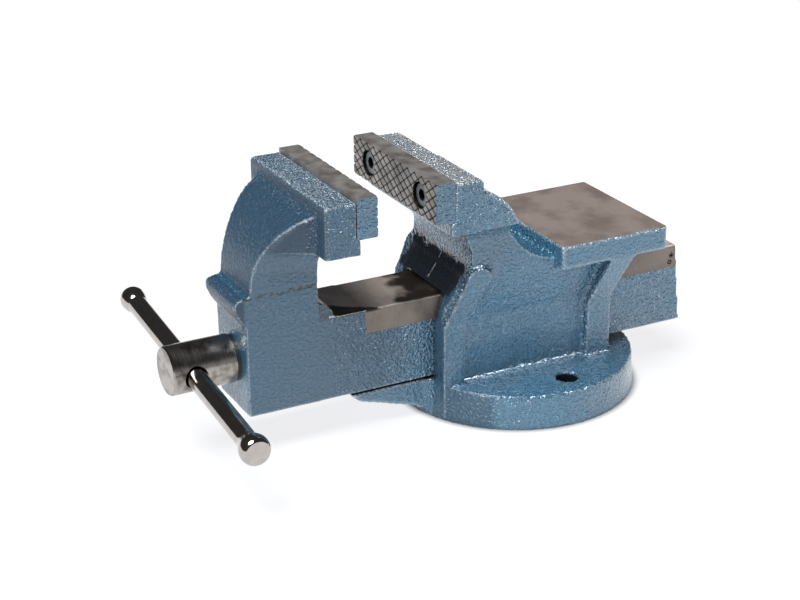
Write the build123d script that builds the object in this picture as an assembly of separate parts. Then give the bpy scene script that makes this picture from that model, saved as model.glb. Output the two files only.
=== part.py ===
from build123d import *
import os
from math import cos, radians, sin, sqrt

# Bench vise with a fixed round base, an anvil and 100 mm jaws. Millimetres.
# X runs along the screw with the handle at -X, +Z is up, and the origin is the centre of
# the round base on its bottom face. Every piece is drawn where it lies with the jaws part open.

# ---------------------------------------------------------------- driving dimensions
# jaws
JAW_WIDTH = 100.0
JAW_TOP = 149.6              # top of both cast jaw blocks
BLOCK_HEIGHT = 30.1
BLOCK_DEPTH = 18.6           # cast block behind the steel plate
SEAT_DEPTH = 2.3             # the plate sits this deep in its block
PLATE_HEIGHT = 22.8
PLATE_THICKNESS = 12.35
PLATE_PROUD = 1.9            # plate top above block top
REST_OPENING = 34.8
FACE_OVERHANG = 14.0         # fixed plate face ahead of the body's front face
FRONT_TO_BLOCK = 35.5        # sliding jaw's front face to the back of its block
BLOCK_ROUND = 2.2            # rounding of the cast blocks' back edges

# round base
BASE_RADIUS = 73.0
BASE_TOP_RADIUS = 71.6
BASE_HEIGHT = 20.8
BASE_HOLE_D = 13.0
BASE_HOLE_SPACING = 107.3
BASE_HOLE_X = 5.0
BASE_HOLLOW_RADIUS = 62.0
BASE_HOLLOW_DEPTH = 11.5
BASE_BOSS_D = 28.0
CROSS_WEB = 16.0             # web under the base, between the two bolt holes

# body and channel
BODY_FRONT = -65.6
BODY_LENGTH = 112.5
WALL_HALF = 29.5             # outer half width of the channel walls at the base
FLARE_START = 58.0           # height where the walls start to lean out
NECK_HALF = 35.5             # half width of the neck between the walls and the jaw block
BODY_LEAN = 0.37             # ribs and rear face lean back above the same height
THROAT_DEPTH = 17.2          # throat's deepest point behind the body's front face
THROAT_HEIGHT = 97.5         # height of that point
NECK_FLARE = 14.0            # radius that widens the neck into the jaw block
NECK_INSET = 0.7             # neck narrower than the jaw block at its widest, each side
HUMP_RADIUS = 36.5           # round back of the neck, behind and below the jaw block
HUMP_BACK = 11.4             # its centre ahead of the block's back face
HUMP_DROP = 11.5             # its centre below the block's bottom
ROOF_TOP = 87.0
RIB_FOOT = 2.0               # height of the front ribs' lower ends
SLIDE_SIDE_GAP = 0.45
SLIDE_HEIGHT_GAP = 0.5

# ribs and tongue of the body
FRONT_RIB_WIDTH = 13.6
FRONT_RIB_HALF = 34.2
REAR_RIB_WIDTH = 16.5
REAR_RIB_HALF = 34.6
FRONT_RIB_TOP = 92.0
FRONT_RIB_TOP_HALF = 38.0
TONGUE_REACH = 51.5
TONGUE_HALF = 20.4
TONGUE_TIP = 2.2
TONGUE_CHIN = 6.3
TONGUE_CHIN_RUN = 5.5
TONGUE_ROOT = 4.0            # height of the tongue's underside at the body
GUSSET = 9.0                 # concave corner between the tongue and the body's front

# anvil
ANVIL_FRONT = 71.1           # behind the body's front face
ANVIL_LENGTH = 72.2
ANVIL_WIDTH = 90.6
ANVIL_TOP = 98.0
ANVIL_THICKNESS = 14.2
ANVIL_CHAMFER = 1.2

# sliding beam
BEAM_WIDTH = 42.7
BEAM_BOTTOM = 23.8
BEAM_TOP = 74.2
BEAM_WALL = 7.0
BEAM_ROOF = 5.0
BEAM_FRONT_WALL = 16.0
BEAM_OVERALL = 287.4         # front face to the rear end's lowest edge
BEAM_END_SLOPE = 5.0
STRIP_HEIGHT = 14.8          # machined strip along each side's top edge
STRIP_DEPTH = 0.45
STRIP_START = 72.6           # behind the jaw's front face
NECK_BACK = 43.9             # throat side of the neck, behind the jaw's front face
NECK_FILLET = 9.0
NECK_SIDE_TOP = 103.0        # height where the neck's sides start to flare
NECK_FLARE_RADIUS = 16.5
HORN_RADIUS = 50.0
HORN_BASE = 96.0
HORN_SETBACK = 3.1           # foot of the horn behind the jaw's front face
HORN_TOP_DROP = 6.6          # top of the horn below the block's top
HORN_INSET = 10.0            # horn narrower than the jaw block, each side
BAR_REACH = 6.4              # cross bar ahead of the front face
BAR_BOTTOM = 78.0
BAR_TOP = 95.4
BAR_NOSE = 11.7              # height of the bar's foremost line above its bottom

# screw, nut and spring
SCREW_HEIGHT = 52.6
SCREW_HEAD_D = 28.0
SCREW_HEAD_LENGTH = 38.0
SHANK_D = 18.0
SHANK_LENGTH = 50.0
THREAD_PITCH = 5.0
THREAD_DEPTH = 2.0
THREAD_TURNS = 40
THREAD_SPAN_TURNS = 20       # longest helix drawn as one sweep
THREAD_CREST = 1.8
THREAD_ROOT = 3.0
THREAD_GAP = 0.3
SHANK_CLEARANCE = 0.1
NUT_LENGTH = 46.0
NUT_TOP_ABOVE_SCREW = 13.4
NUT_SIDE_GAP = 0.5
NUT_CENTRE_X = 8.0
NUT_BOLT_X = 20.0
NUT_BOLT_D = 10.0
NUT_BOLT_GRIP = 14.0         # thread length inside the nut
NUT_BOLT_HEAD_AF = 16.0
NUT_BOLT_HEAD_HEIGHT = 6.0
NUT_WASHER_D = 20.0
NUT_WASHER_T = 2.0
LOCK_WASHER_D = 17.0
LOCK_WASHER_T = 2.2
LOCK_WASHER_SPLIT = 1.5
THRUST_WASHER_D = 26.5
THRUST_WASHER_T = 1.6
WASHER_CLEARANCE = 0.3
SPRING_WASHER_D = 27.0
SPRING_WASHER_T = 1.5
SPRING_LENGTH = 20.0
SPRING_WIRE = 2.4
SPRING_INNER_GAP = 0.8
SPRING_TURNS = 5
SPLIT_PIN_D = 3.0
SPLIT_PIN_REACH = 13.4       # tips of the split pin from the screw's axis
SPLIT_PIN_WIRE = 1.4

# handle
HANDLE_D = 11.6
HANDLE_HOLE_D = 13.5
HANDLE_FROM_FACE = 13.0      # hole centre behind the screw head's front
HANDLE_TILT = 5.6            # the screw's rest angle, near end of the handle low
HANDLE_NEAR = 96.4
HANDLE_FAR = 93.4
SPIGOT_D = 8.0
KNOB_LENGTH = 15.0
KNOB_WALL = 4.0              # solid end of a knob beyond the spigot
NEAR_KNOB_D = 17.0
NEAR_KNOB_FACE_D = 14.0
FAR_KNOB_D = 15.0

# fasteners
PLATE_SCREW_D = 8.0
PLATE_SCREW_HEAD_D = 13.0
PLATE_SCREW_HEAD_H = 8.0
PLATE_SCREW_SOCKET_AF = 6.0
PLATE_SCREW_SOCKET_DEPTH = 4.0
PLATE_SCREW_LENGTH = 16.0
PLATE_SCREW_SPACING = 62.0
COUNTERBORE_D = 15.0
COUNTERBORE_DEPTH = 9.6
SCREW_HOLE_GAP = 0.1         # radial room around a screw in its hole
STOP_PIN_D = 3.0
STOP_PIN_LENGTH = 9.0
STOP_PIN_PITCH = 4.1
STOP_PIN_FROM_END = 4.0
PLATE_CHAMFER = 0.4

# ---------------------------------------------------------------- derived places
JAW_HALF = JAW_WIDTH / 2
BLOCK_BOTTOM = JAW_TOP - BLOCK_HEIGHT
PLATE_TOP = JAW_TOP + PLATE_PROUD
PLATE_BOTTOM = PLATE_TOP - PLATE_HEIGHT
PLATE_MID = (PLATE_TOP + PLATE_BOTTOM) / 2
FIXED_FACE = BODY_FRONT - FACE_OVERHANG
SLIDING_FACE = FIXED_FACE - REST_OPENING
FIXED_BLOCK = FIXED_FACE + PLATE_THICKNESS
FIXED_BLOCK_BACK = FIXED_BLOCK + BLOCK_DEPTH
SLIDING_BLOCK = SLIDING_FACE - PLATE_THICKNESS
SLIDING_BLOCK_BACK = SLIDING_BLOCK - BLOCK_DEPTH
JAW_FRONT = SLIDING_BLOCK_BACK - FRONT_TO_BLOCK
NECK_X = JAW_FRONT + NECK_BACK
BODY_REAR = BODY_FRONT + BODY_LENGTH
BEAM_HALF = BEAM_WIDTH / 2
BEAM_END = JAW_FRONT + BEAM_OVERALL
CHANNEL_HALF = BEAM_HALF + SLIDE_SIDE_GAP
CHANNEL_FLOOR = BEAM_BOTTOM - SLIDE_HEIGHT_GAP
CHANNEL_TOP = BEAM_TOP + SLIDE_HEIGHT_GAP
POCKET_HALF = BEAM_HALF - BEAM_WALL
POCKET_TOP = BEAM_TOP - BEAM_ROOF
POCKET_START = JAW_FRONT + BEAM_FRONT_WALL
ANVIL_X = BODY_FRONT + ANVIL_FRONT
SCREW_FACE = JAW_FRONT - THRUST_WASHER_T - SCREW_HEAD_LENGTH
HEAD_BACK = JAW_FRONT - THRUST_WASHER_T
THREAD_START = HEAD_BACK + SHANK_LENGTH
THREAD_LENGTH = THREAD_TURNS * THREAD_PITCH
THREAD_CORE = SHANK_D / 2 - THREAD_DEPTH
WASHER_BORE = SHANK_D / 2 + WASHER_CLEARANCE
NUT_HALF = POCKET_HALF - NUT_SIDE_GAP
NUT_TOP = SCREW_HEIGHT + NUT_TOP_ABOVE_SCREW
HANDLE_X = SCREW_FACE + HANDLE_FROM_FACE
NUT_BOLT_HEAD_TOP = BASE_HOLLOW_DEPTH - NUT_WASHER_T - LOCK_WASHER_T


# ---------------------------------------------------------------- small helpers
def side_profile(points_and_curves, half_width):
    """A solid of the given X-Z outline, centred on Y."""
    return extrude(Plane.XZ * make_face(points_and_curves), amount=half_width, both=True)


def front_profile(points, x_low, x_high):
    """A solid of the given Y-Z outline, mirrored about Y = 0, from x_low to x_high."""
    outline = points + [(-y, z) for y, z in reversed(points)]
    face = Plane.YZ.offset(x_low) * make_face(Polyline(*outline, close=True))
    return extrude(face, amount=x_high - x_low)


def block(x0, x1, y0, y1, z0, z1):
    """A box between two corners."""
    return Pos((x0 + x1) / 2, (y0 + y1) / 2, (z0 + z1) / 2) * Box(x1 - x0, y1 - y0, z1 - z0)


def rod_x(radius, x0, x1, y=0.0, z=SCREW_HEIGHT):
    """A cylinder along X."""
    return Pos((x0 + x1) / 2, y, z) * Rot(0, 90, 0) * Cylinder(radius, x1 - x0)


def rod_z(radius, z0, z1, x=0.0, y=0.0):
    """A cylinder along Z."""
    return Pos(x, y, (z0 + z1) / 2) * Cylinder(radius, z1 - z0)


def washer_x(outer_d, bore_r, x0, x1):
    """A flat washer on the screw's axis."""
    return rod_x(outer_d / 2, x0, x1) - rod_x(bore_r, x0 - 1, x1 + 1)


def helix_thread(core, crest, root_width, crest_width, turns, x0):
    """A right-hand thread form along the screw's axis, in spans of a few turns each."""
    sink = 0.3
    form = [(-sink, -root_width / 2), (crest - core, -crest_width / 2),
            (crest - core, crest_width / 2), (-sink, root_width / 2)]
    spans = []
    first = 0
    while first < turns:
        count = min(THREAD_SPAN_TURNS, turns - first)
        path = Helix(pitch=THREAD_PITCH, height=count * THREAD_PITCH, radius=core)
        start = Plane(origin=path @ 0, x_dir=(1, 0, 0), z_dir=path % 0)
        ridge = sweep(start * make_face(Polyline(*form, close=True)), path=path, is_frenet=True)
        spans.append(Pos(x0 + first * THREAD_PITCH, 0, SCREW_HEIGHT) * Rot(0, 90, 0) * ridge)
        first += count
    return spans


def plate_screw_places():
    """Y places of the two screws in each jaw plate."""
    return (-PLATE_SCREW_SPACING / 2, PLATE_SCREW_SPACING / 2)


# ---------------------------------------------------------------- fixed body
def lean_x(x, z):
    """Place at height z of a front or rear face that leans back above FLARE_START."""
    return x + BODY_LEAN * max(0.0, z - FLARE_START)


def throat_place(depth_share, height):
    """A point on the throat's curve, as a share of its depth at a given height."""
    return (BODY_FRONT + depth_share * THROAT_DEPTH, height)


def throat_curve(throat_top):
    """Front of the neck: leans back from the channel, turns, and sweeps out to the jaw block."""
    rise = THROAT_HEIGHT - FLARE_START
    return Spline(throat_place(0.0, FLARE_START),
                  throat_place(0.35, FLARE_START + 0.47 * rise),
                  throat_place(0.88, FLARE_START + 0.81 * rise),
                  throat_place(1.0, THROAT_HEIGHT),
                  throat_place(0.87, THROAT_HEIGHT + 0.4 * (throat_top - THROAT_HEIGHT)),
                  (FIXED_BLOCK + 1.0, throat_top),
                  tangents=[(0, 1), (-1, 0.2)])


def neck_front_view():
    """Outline of the walls and neck seen along X, widened by an arc under the jaw block."""
    anvil_bottom = ANVIL_TOP - ANVIL_THICKNESS
    side = JAW_HALF - NECK_INSET
    arc_foot = (side - NECK_FLARE, BLOCK_BOTTOM - NECK_FLARE)
    bend = NECK_FLARE * (1 - sqrt(0.5))
    half = [
        Line((0, BASE_HOLLOW_DEPTH), (WALL_HALF, BASE_HOLLOW_DEPTH)),
        Line((WALL_HALF, BASE_HOLLOW_DEPTH), (WALL_HALF, FLARE_START)),
        Line((WALL_HALF, FLARE_START), (NECK_HALF, anvil_bottom)),
        Line((NECK_HALF, anvil_bottom), arc_foot),
        ThreePointArc(arc_foot, (side - NECK_FLARE + bend, BLOCK_BOTTOM - bend),
                      (side, BLOCK_BOTTOM)),
        Line((side, BLOCK_BOTTOM), (side, JAW_TOP)),
        Line((side, JAW_TOP), (0, JAW_TOP)),
        Line((0, JAW_TOP), (0, BASE_HOLLOW_DEPTH)),
    ]
    face = make_face(half)
    return face + mirror(face, Plane.YZ)


def hump_place(angle):
    """A point on the neck's round back, by its angle above the horizontal in degrees."""
    return (FIXED_BLOCK_BACK - HUMP_BACK + HUMP_RADIUS * cos(radians(angle)),
            BLOCK_BOTTOM - HUMP_DROP + HUMP_RADIUS * sin(radians(angle)))


def body_core():
    """Channel walls, roof, neck and throat as one side outline cut to the flared front view."""
    inside_block = FIXED_BLOCK + 1.0
    throat_top = BLOCK_BOTTOM + 1.0
    hump_top = BLOCK_BOTTOM - HUMP_DROP + sqrt(HUMP_RADIUS ** 2 - HUMP_BACK ** 2)
    hump_foot = hump_place(4)
    valley = (hump_foot[0] + 10.0, ROOF_TOP + 11.0)
    under_anvil = (ANVIL_X + 2, ROOF_TOP + 1.5)
    rear_top = (lean_x(BODY_REAR, ROOF_TOP), ROOF_TOP)
    outline = [
        Line((BODY_FRONT, BASE_HOLLOW_DEPTH), (BODY_FRONT, FLARE_START)),
        throat_curve(throat_top),
        Line((inside_block, throat_top), (inside_block, hump_top)),
        Line((inside_block, hump_top), (FIXED_BLOCK_BACK, hump_top)),
        ThreePointArc((FIXED_BLOCK_BACK, hump_top), hump_place(40), hump_foot),
        ThreePointArc(hump_foot, valley, under_anvil),
        Line(under_anvil, rear_top),
        Line(rear_top, (BODY_REAR, FLARE_START)),
        Line((BODY_REAR, FLARE_START), (BODY_REAR, BASE_HOLLOW_DEPTH)),
        Line((BODY_REAR, BASE_HOLLOW_DEPTH), (BODY_FRONT, BASE_HOLLOW_DEPTH)),
    ]
    view = Plane.YZ.offset(BODY_FRONT - 5) * neck_front_view()
    return side_profile(outline, JAW_HALF) & extrude(view, amount=1.5 * BODY_LENGTH)


def jaw_block(face_x, direction):
    """A cast jaw block with its shallow plate seat; direction points away from the plate."""
    back = face_x + direction * BLOCK_DEPTH
    lip = face_x - direction * SEAT_DEPTH
    x_low, x_high = sorted((face_x, back))
    solid = block(x_low, x_high, -JAW_HALF, JAW_HALF, BLOCK_BOTTOM, JAW_TOP)
    back_face = solid.faces().filter_by(Axis.X).sort_by(Axis.X)[-1 if direction > 0 else 0]
    top_and_ends = [edge for edge in back_face.edges() if edge.center().Z > BLOCK_BOTTOM + 1]
    solid = fillet(top_and_ends, BLOCK_ROUND)
    x_low, x_high = sorted((face_x, lip))
    return solid + block(x_low, x_high, -JAW_HALF, JAW_HALF, BLOCK_BOTTOM, PLATE_BOTTOM)


def plate_screw_holes(face_x, direction):
    """Tapped holes in a jaw block for the plate screws."""
    depth = PLATE_SCREW_LENGTH + COUNTERBORE_DEPTH - PLATE_SCREW_HEAD_H
    x_low, x_high = sorted((face_x - direction * 1.0, face_x + direction * depth))
    radius = PLATE_SCREW_D / 2 + SCREW_HOLE_GAP
    return [rod_x(radius, x_low, x_high, y, PLATE_MID) for y in plate_screw_places()]


def front_ribs():
    """Round-topped ribs on the body's front corners; they run down past the base's edge."""
    right = BODY_FRONT + FRONT_RIB_WIDTH
    right_top = (lean_x(right, FRONT_RIB_TOP - 7.0) + 6.0, FRONT_RIB_TOP - 7.0)
    crown = (lean_x(BODY_FRONT, FRONT_RIB_TOP) + 10.5, FRONT_RIB_TOP)
    left_top = (lean_x(BODY_FRONT, FRONT_RIB_TOP - 4.0) + 2.5, FRONT_RIB_TOP - 4.0)
    outline = [
        Line((BODY_FRONT, RIB_FOOT), (BODY_FRONT, FLARE_START)),
        Line((BODY_FRONT, FLARE_START), left_top),
        ThreePointArc(left_top, crown, right_top),
        Line(right_top, (right, FLARE_START - 4)),
        Line((right, FLARE_START - 4), (right, RIB_FOOT)),
        Line((right, RIB_FOOT), (BODY_FRONT, RIB_FOOT)),
    ]
    front = front_profile([(FRONT_RIB_HALF, 0.0), (FRONT_RIB_HALF, FLARE_START),
                           (FRONT_RIB_TOP_HALF, FRONT_RIB_TOP - 10.0),
                           (FRONT_RIB_TOP_HALF, FRONT_RIB_TOP + 2)],
                          BODY_FRONT - 1, BODY_FRONT + 60)
    return side_profile(outline, JAW_HALF) & front


def rear_ribs():
    """Ribs along the walls' rear edges that lean out to carry the anvil's sides."""
    left = BODY_REAR - REAR_RIB_WIDTH
    anvil_bottom = ANVIL_TOP - ANVIL_THICKNESS
    outline = Polyline((left, BASE_HEIGHT - 3), (left, FLARE_START - 4),
                       (lean_x(left, anvil_bottom), anvil_bottom + 1),
                       (lean_x(BODY_REAR, anvil_bottom), anvil_bottom + 1),
                       (BODY_REAR, FLARE_START), (BODY_REAR, BASE_HEIGHT - 3), close=True)
    top = ANVIL_WIDTH / 2 - 0.5
    front = front_profile([(REAR_RIB_HALF, BASE_HEIGHT - 3), (REAR_RIB_HALF, FLARE_START - 3),
                           (top, anvil_bottom), (top, anvil_bottom + 1)],
                          left - 1, BODY_REAR + 30)
    return side_profile(outline, JAW_HALF) & front


def tongue():
    """Tapered lip that carries the slide in front of the body, in concave corners."""
    tip = BODY_FRONT - TONGUE_REACH
    inside = BODY_FRONT + 1.0
    outline = Polyline((inside + 3, CHANNEL_FLOOR), (tip, CHANNEL_FLOOR),
                       (tip, CHANNEL_FLOOR - TONGUE_TIP),
                       (tip + TONGUE_CHIN_RUN, CHANNEL_FLOOR - TONGUE_CHIN),
                       (BODY_FRONT - 11.0, TONGUE_ROOT + 2.4), (inside + 3, TONGUE_ROOT - 2),
                       close=True)
    lip = side_profile(outline, TONGUE_HALF)
    near = -TONGUE_HALF
    foot = BODY_FRONT - GUSSET
    half = [
        Line((inside, 0), (foot, 0)),
        Line((foot, 0), (foot, near)),
        Bezier((foot, near), (BODY_FRONT, near), (BODY_FRONT, near - GUSSET)),
        Line((BODY_FRONT, near - GUSSET), (inside, near - GUSSET)),
        Line((inside, near - GUSSET), (inside, 0)),
    ]
    corner = make_face(half)
    corners = Plane.XY.offset(TONGUE_ROOT) * (corner + mirror(corner, Plane.XZ))
    return lip + extrude(corners, amount=CHANNEL_FLOOR - TONGUE_ROOT)


def base_hollows():
    """Two half-round hollows under the base, either side of the web between its holes."""
    disc = rod_z(BASE_HOLLOW_RADIUS, -1, BASE_HOLLOW_DEPTH)
    disc -= block(-CROSS_WEB / 2, CROSS_WEB / 2, -BASE_RADIUS, BASE_RADIUS,
                  -2, BASE_HOLLOW_DEPTH + 1)
    for side in (-1, 1):
        disc -= rod_z(BASE_BOSS_D / 2, -2, BASE_HOLLOW_DEPTH + 1, BASE_HOLE_X,
                      side * BASE_HOLE_SPACING / 2)
    return disc


def fixed_jaw_body():
    """The fixed casting: base, channel, ribs, tongue, neck, jaw block and anvil."""
    base = Pos(0, 0, BASE_HEIGHT / 2) * Cone(BASE_RADIUS, BASE_TOP_RADIUS, BASE_HEIGHT)
    body = base + body_core() + front_ribs() + rear_ribs() + tongue()
    body += jaw_block(FIXED_BLOCK, 1)
    anvil = block(ANVIL_X, ANVIL_X + ANVIL_LENGTH, -ANVIL_WIDTH / 2, ANVIL_WIDTH / 2,
                  ANVIL_TOP - ANVIL_THICKNESS, ANVIL_TOP)
    body += chamfer(anvil.edges().filter_by(Axis.Z), ANVIL_CHAMFER)
    body -= block(BODY_FRONT - TONGUE_REACH - 5, BODY_REAR + 60, -CHANNEL_HALF, CHANNEL_HALF,
                  CHANNEL_FLOOR, CHANNEL_TOP)
    body -= base_hollows()
    for side in (-1, 1):
        body -= rod_z(BASE_HOLE_D / 2, -1, BASE_HEIGHT + 1, BASE_HOLE_X,
                      side * BASE_HOLE_SPACING / 2)
    body -= rod_z(NUT_BOLT_D / 2 + 0.5, 0, CHANNEL_FLOOR + 1, NUT_BOLT_X)
    for hole in plate_screw_holes(FIXED_BLOCK, 1):
        body -= hole
    return body


# ---------------------------------------------------------------- sliding jaw
def horn_front(z):
    """Place of the horn's curved front at height z: an arc that leans back towards the block."""
    rise = max(0.0, z - HORN_BASE)
    return JAW_FRONT + HORN_SETBACK + HORN_RADIUS - sqrt(HORN_RADIUS ** 2 - rise ** 2)


def horn_half_front(z):
    """Half width of the horn's front at height z: beam width low down, nearly jaw width on top."""
    share = max(0.0, z - HORN_BASE - 4.0) / (JAW_TOP - HORN_TOP_DROP - HORN_BASE - 3.9)
    return BEAM_HALF + (JAW_HALF - HORN_INSET - BEAM_HALF) * min(1.0, share) ** 2.2


def horn_half_back(z):
    """Half width of the neck at height z: flared by a quarter arc under the jaw block."""
    rise = max(0.0, z - NECK_SIDE_TOP)
    if rise >= NECK_FLARE_RADIUS:
        return JAW_HALF - HORN_INSET
    flare = NECK_FLARE_RADIUS - sqrt(NECK_FLARE_RADIUS ** 2 - rise ** 2)
    return min(BEAM_HALF + flare, JAW_HALF - HORN_INSET)


def horn_section(z, back_x):
    """Outline of the horn at height z, with hollow flanks between its front and its back."""
    front_x = horn_front(z)
    front = horn_half_front(z)
    back = max(horn_half_back(z), front)
    waist_x = front_x + 0.5 * (back_x - front_x)
    waist = front + 0.22 * (back - front)
    edges = [
        Bezier((front_x, front), (waist_x, waist), (back_x, back)),
        Line((back_x, back), (back_x, -back)),
        Bezier((back_x, -back), (waist_x, -waist), (front_x, -front)),
        Line((front_x, -front), (front_x, front)),
    ]
    return Pos(0, 0, z) * make_face(edges)


def horn():
    """Curved neck of the sliding jaw, wide at the block and as narrow as the beam below."""
    seam = HORN_BASE - 2.0
    flare = BLOCK_BOTTOM - NECK_SIDE_TOP
    low = [seam] + [NECK_SIDE_TOP + flare * share for share in (0.0, 0.3, 0.58, 0.82, 1.0)]
    lower = loft([horn_section(z, NECK_X) for z in low], ruled=True)
    steps = 6
    top = JAW_TOP - HORN_TOP_DROP
    high = [BLOCK_BOTTOM + (top - BLOCK_BOTTOM) * i / steps for i in range(steps + 1)]
    upper = loft([horn_section(z, SLIDING_BLOCK_BACK + 1.0) for z in high], ruled=True)
    return lower + upper


def cross_bar():
    """Rounded bar across the front, under the horn."""
    low = (JAW_FRONT, BAR_BOTTOM)
    nose = (JAW_FRONT - BAR_REACH, BAR_BOTTOM + BAR_NOSE)
    top = (JAW_FRONT + 1.3, BAR_TOP)
    outline = [
        Bezier(low, (JAW_FRONT - BAR_REACH * 0.6, BAR_BOTTOM + 3.5), nose),
        Bezier(nose, (JAW_FRONT - BAR_REACH, BAR_TOP - 0.5), top),
        Line(top, (JAW_FRONT + 5, BAR_TOP)),
        Line((JAW_FRONT + 5, BAR_TOP), (JAW_FRONT + 5, BAR_BOTTOM)),
        Line((JAW_FRONT + 5, BAR_BOTTOM), low),
    ]
    return side_profile(outline, BEAM_HALF)


def beam():
    """Inverted-U beam with its front wall, and the neck up to the horn's seam."""
    seam = HORN_BASE - 2.0
    end_top = BEAM_END - BEAM_END_SLOPE
    outline = [
        Line((JAW_FRONT, BEAM_BOTTOM), (JAW_FRONT, seam)),
        Line((JAW_FRONT, seam), (NECK_X, seam)),
        Line((NECK_X, seam), (NECK_X, BEAM_TOP + NECK_FILLET)),
        RadiusArc((NECK_X, BEAM_TOP + NECK_FILLET), (NECK_X + NECK_FILLET, BEAM_TOP),
                  NECK_FILLET),
        Line((NECK_X + NECK_FILLET, BEAM_TOP), (end_top, BEAM_TOP)),
        Line((end_top, BEAM_TOP), (BEAM_END, BEAM_BOTTOM)),
        Line((BEAM_END, BEAM_BOTTOM), (JAW_FRONT, BEAM_BOTTOM)),
    ]
    solid = side_profile(outline, BEAM_HALF)
    solid -= block(POCKET_START, BEAM_END + 5, -POCKET_HALF, POCKET_HALF,
                   BEAM_BOTTOM - 1, POCKET_TOP)
    for side in (-1, 1):
        y_low, y_high = sorted((side * (BEAM_HALF - STRIP_DEPTH), side * (BEAM_HALF + 1)))
        solid -= block(JAW_FRONT + STRIP_START, BEAM_END + 5, y_low, y_high,
                       BEAM_TOP - STRIP_HEIGHT, BEAM_TOP + 1)
    return solid


def stop_pin_places():
    """X and Z of the two stop pins, one above the other, near the beam's rear end."""
    x = BEAM_END - BEAM_END_SLOPE - STOP_PIN_FROM_END
    upper = POCKET_TOP - STOP_PIN_D / 2 - 0.4
    return [(x + 1.2, upper), (x, upper - STOP_PIN_PITCH)]


def stop_pin(x, z, radius):
    """A pin driven in from the beam's near side, standing proud inside the pocket."""
    y = -(BEAM_HALF - STRIP_DEPTH) + STOP_PIN_LENGTH / 2
    return Pos(x, y, z) * Rot(90, 0, 0) * Cylinder(radius, STOP_PIN_LENGTH)


def sliding_jaw_body():
    """The sliding casting: beam, front wall with the screw's bearing, horn and jaw block."""
    jaw = beam() + horn() + cross_bar() + jaw_block(SLIDING_BLOCK, -1)
    jaw -= rod_x(SHANK_D / 2 + SHANK_CLEARANCE, JAW_FRONT - 5, POCKET_START + 5)
    for x, z in stop_pin_places():
        jaw -= stop_pin(x, z, STOP_PIN_D / 2)
    for hole in plate_screw_holes(SLIDING_BLOCK, -1):
        jaw -= hole
    return jaw


def slide_stop_pins():
    """Two hollow spring pins that meet the nut when the jaw is fully open."""
    pins = [stop_pin(x, z, STOP_PIN_D / 2) - stop_pin(x, z, STOP_PIN_D / 4)
            for x, z in stop_pin_places()]
    return Compound(children=pins)


# ---------------------------------------------------------------- jaw plates and their screws
def jaw_plate(face_x, direction):
    """A hardened plate with two counterbored holes; direction points away from the face."""
    back = face_x + direction * PLATE_THICKNESS
    x_low, x_high = sorted((face_x, back))
    plate = block(x_low, x_high, -JAW_HALF, JAW_HALF, PLATE_BOTTOM, PLATE_TOP)
    plate = chamfer(plate.edges().filter_by(Axis.Y), PLATE_CHAMFER)
    floor_x = face_x + direction * COUNTERBORE_DEPTH
    for y in plate_screw_places():
        x_low, x_high = sorted((face_x - direction, floor_x))
        plate -= rod_x(COUNTERBORE_D / 2, x_low, x_high, y, PLATE_MID)
        x_low, x_high = sorted((face_x, back + direction))
        plate -= rod_x(PLATE_SCREW_D / 2 + SCREW_HOLE_GAP, x_low, x_high, y, PLATE_MID)
    return plate


def plate_screws(face_x, direction):
    """Two socket head cap screws seated in a plate's counterbores."""
    seat = face_x + direction * COUNTERBORE_DEPTH
    top = seat - direction * PLATE_SCREW_HEAD_H
    screws = []
    for y in plate_screw_places():
        x_low, x_high = sorted((top, seat))
        head = rod_x(PLATE_SCREW_HEAD_D / 2, x_low, x_high, y, PLATE_MID)
        x_low, x_high = sorted((seat, seat + direction * PLATE_SCREW_LENGTH))
        screw = head + rod_x(PLATE_SCREW_D / 2, x_low, x_high, y, PLATE_MID)
        socket = Plane(origin=(top, y, PLATE_MID), x_dir=(0, 1, 0), z_dir=(direction, 0, 0))
        hexagon = socket * RegularPolygon(PLATE_SCREW_SOCKET_AF / 2, 6, major_radius=False)
        screws.append(screw - extrude(hexagon, amount=PLATE_SCREW_SOCKET_DEPTH))
    return Compound(children=screws)


# ---------------------------------------------------------------- screw group
def lead_screw():
    """Head with the handle's cross hole, plain shank and right-hand thread."""
    head = rod_x(SCREW_HEAD_D / 2, SCREW_FACE, HEAD_BACK)
    head = chamfer(head.edges().filter_by(GeomType.CIRCLE), 0.8)
    shank = rod_x(SHANK_D / 2, HEAD_BACK, THREAD_START)
    tail = rod_x(THREAD_CORE, THREAD_START, THREAD_START + THREAD_LENGTH + THREAD_PITCH)
    screw = head + shank + tail
    for span in helix_thread(THREAD_CORE, SHANK_D / 2, THREAD_ROOT, THREAD_CREST,
                             THREAD_TURNS, THREAD_START):
        screw += span
    hole = Pos(HANDLE_X, 0, SCREW_HEIGHT) * handle_turn() * Cylinder(HANDLE_HOLE_D / 2, 60)
    screw -= hole
    screw -= split_pin_bar(SPLIT_PIN_D / 2, 30.0)
    return screw


def split_pin_x():
    """Place of the split pin, just behind the spring's rear washer."""
    return POCKET_START + 2 * SPRING_WASHER_T + SPRING_LENGTH + SPLIT_PIN_D / 2


def split_pin_bar(radius, length):
    """The round body of the split pin, upright through the shank."""
    return Pos(split_pin_x(), 0, SCREW_HEIGHT) * Cylinder(radius, length)


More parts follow.
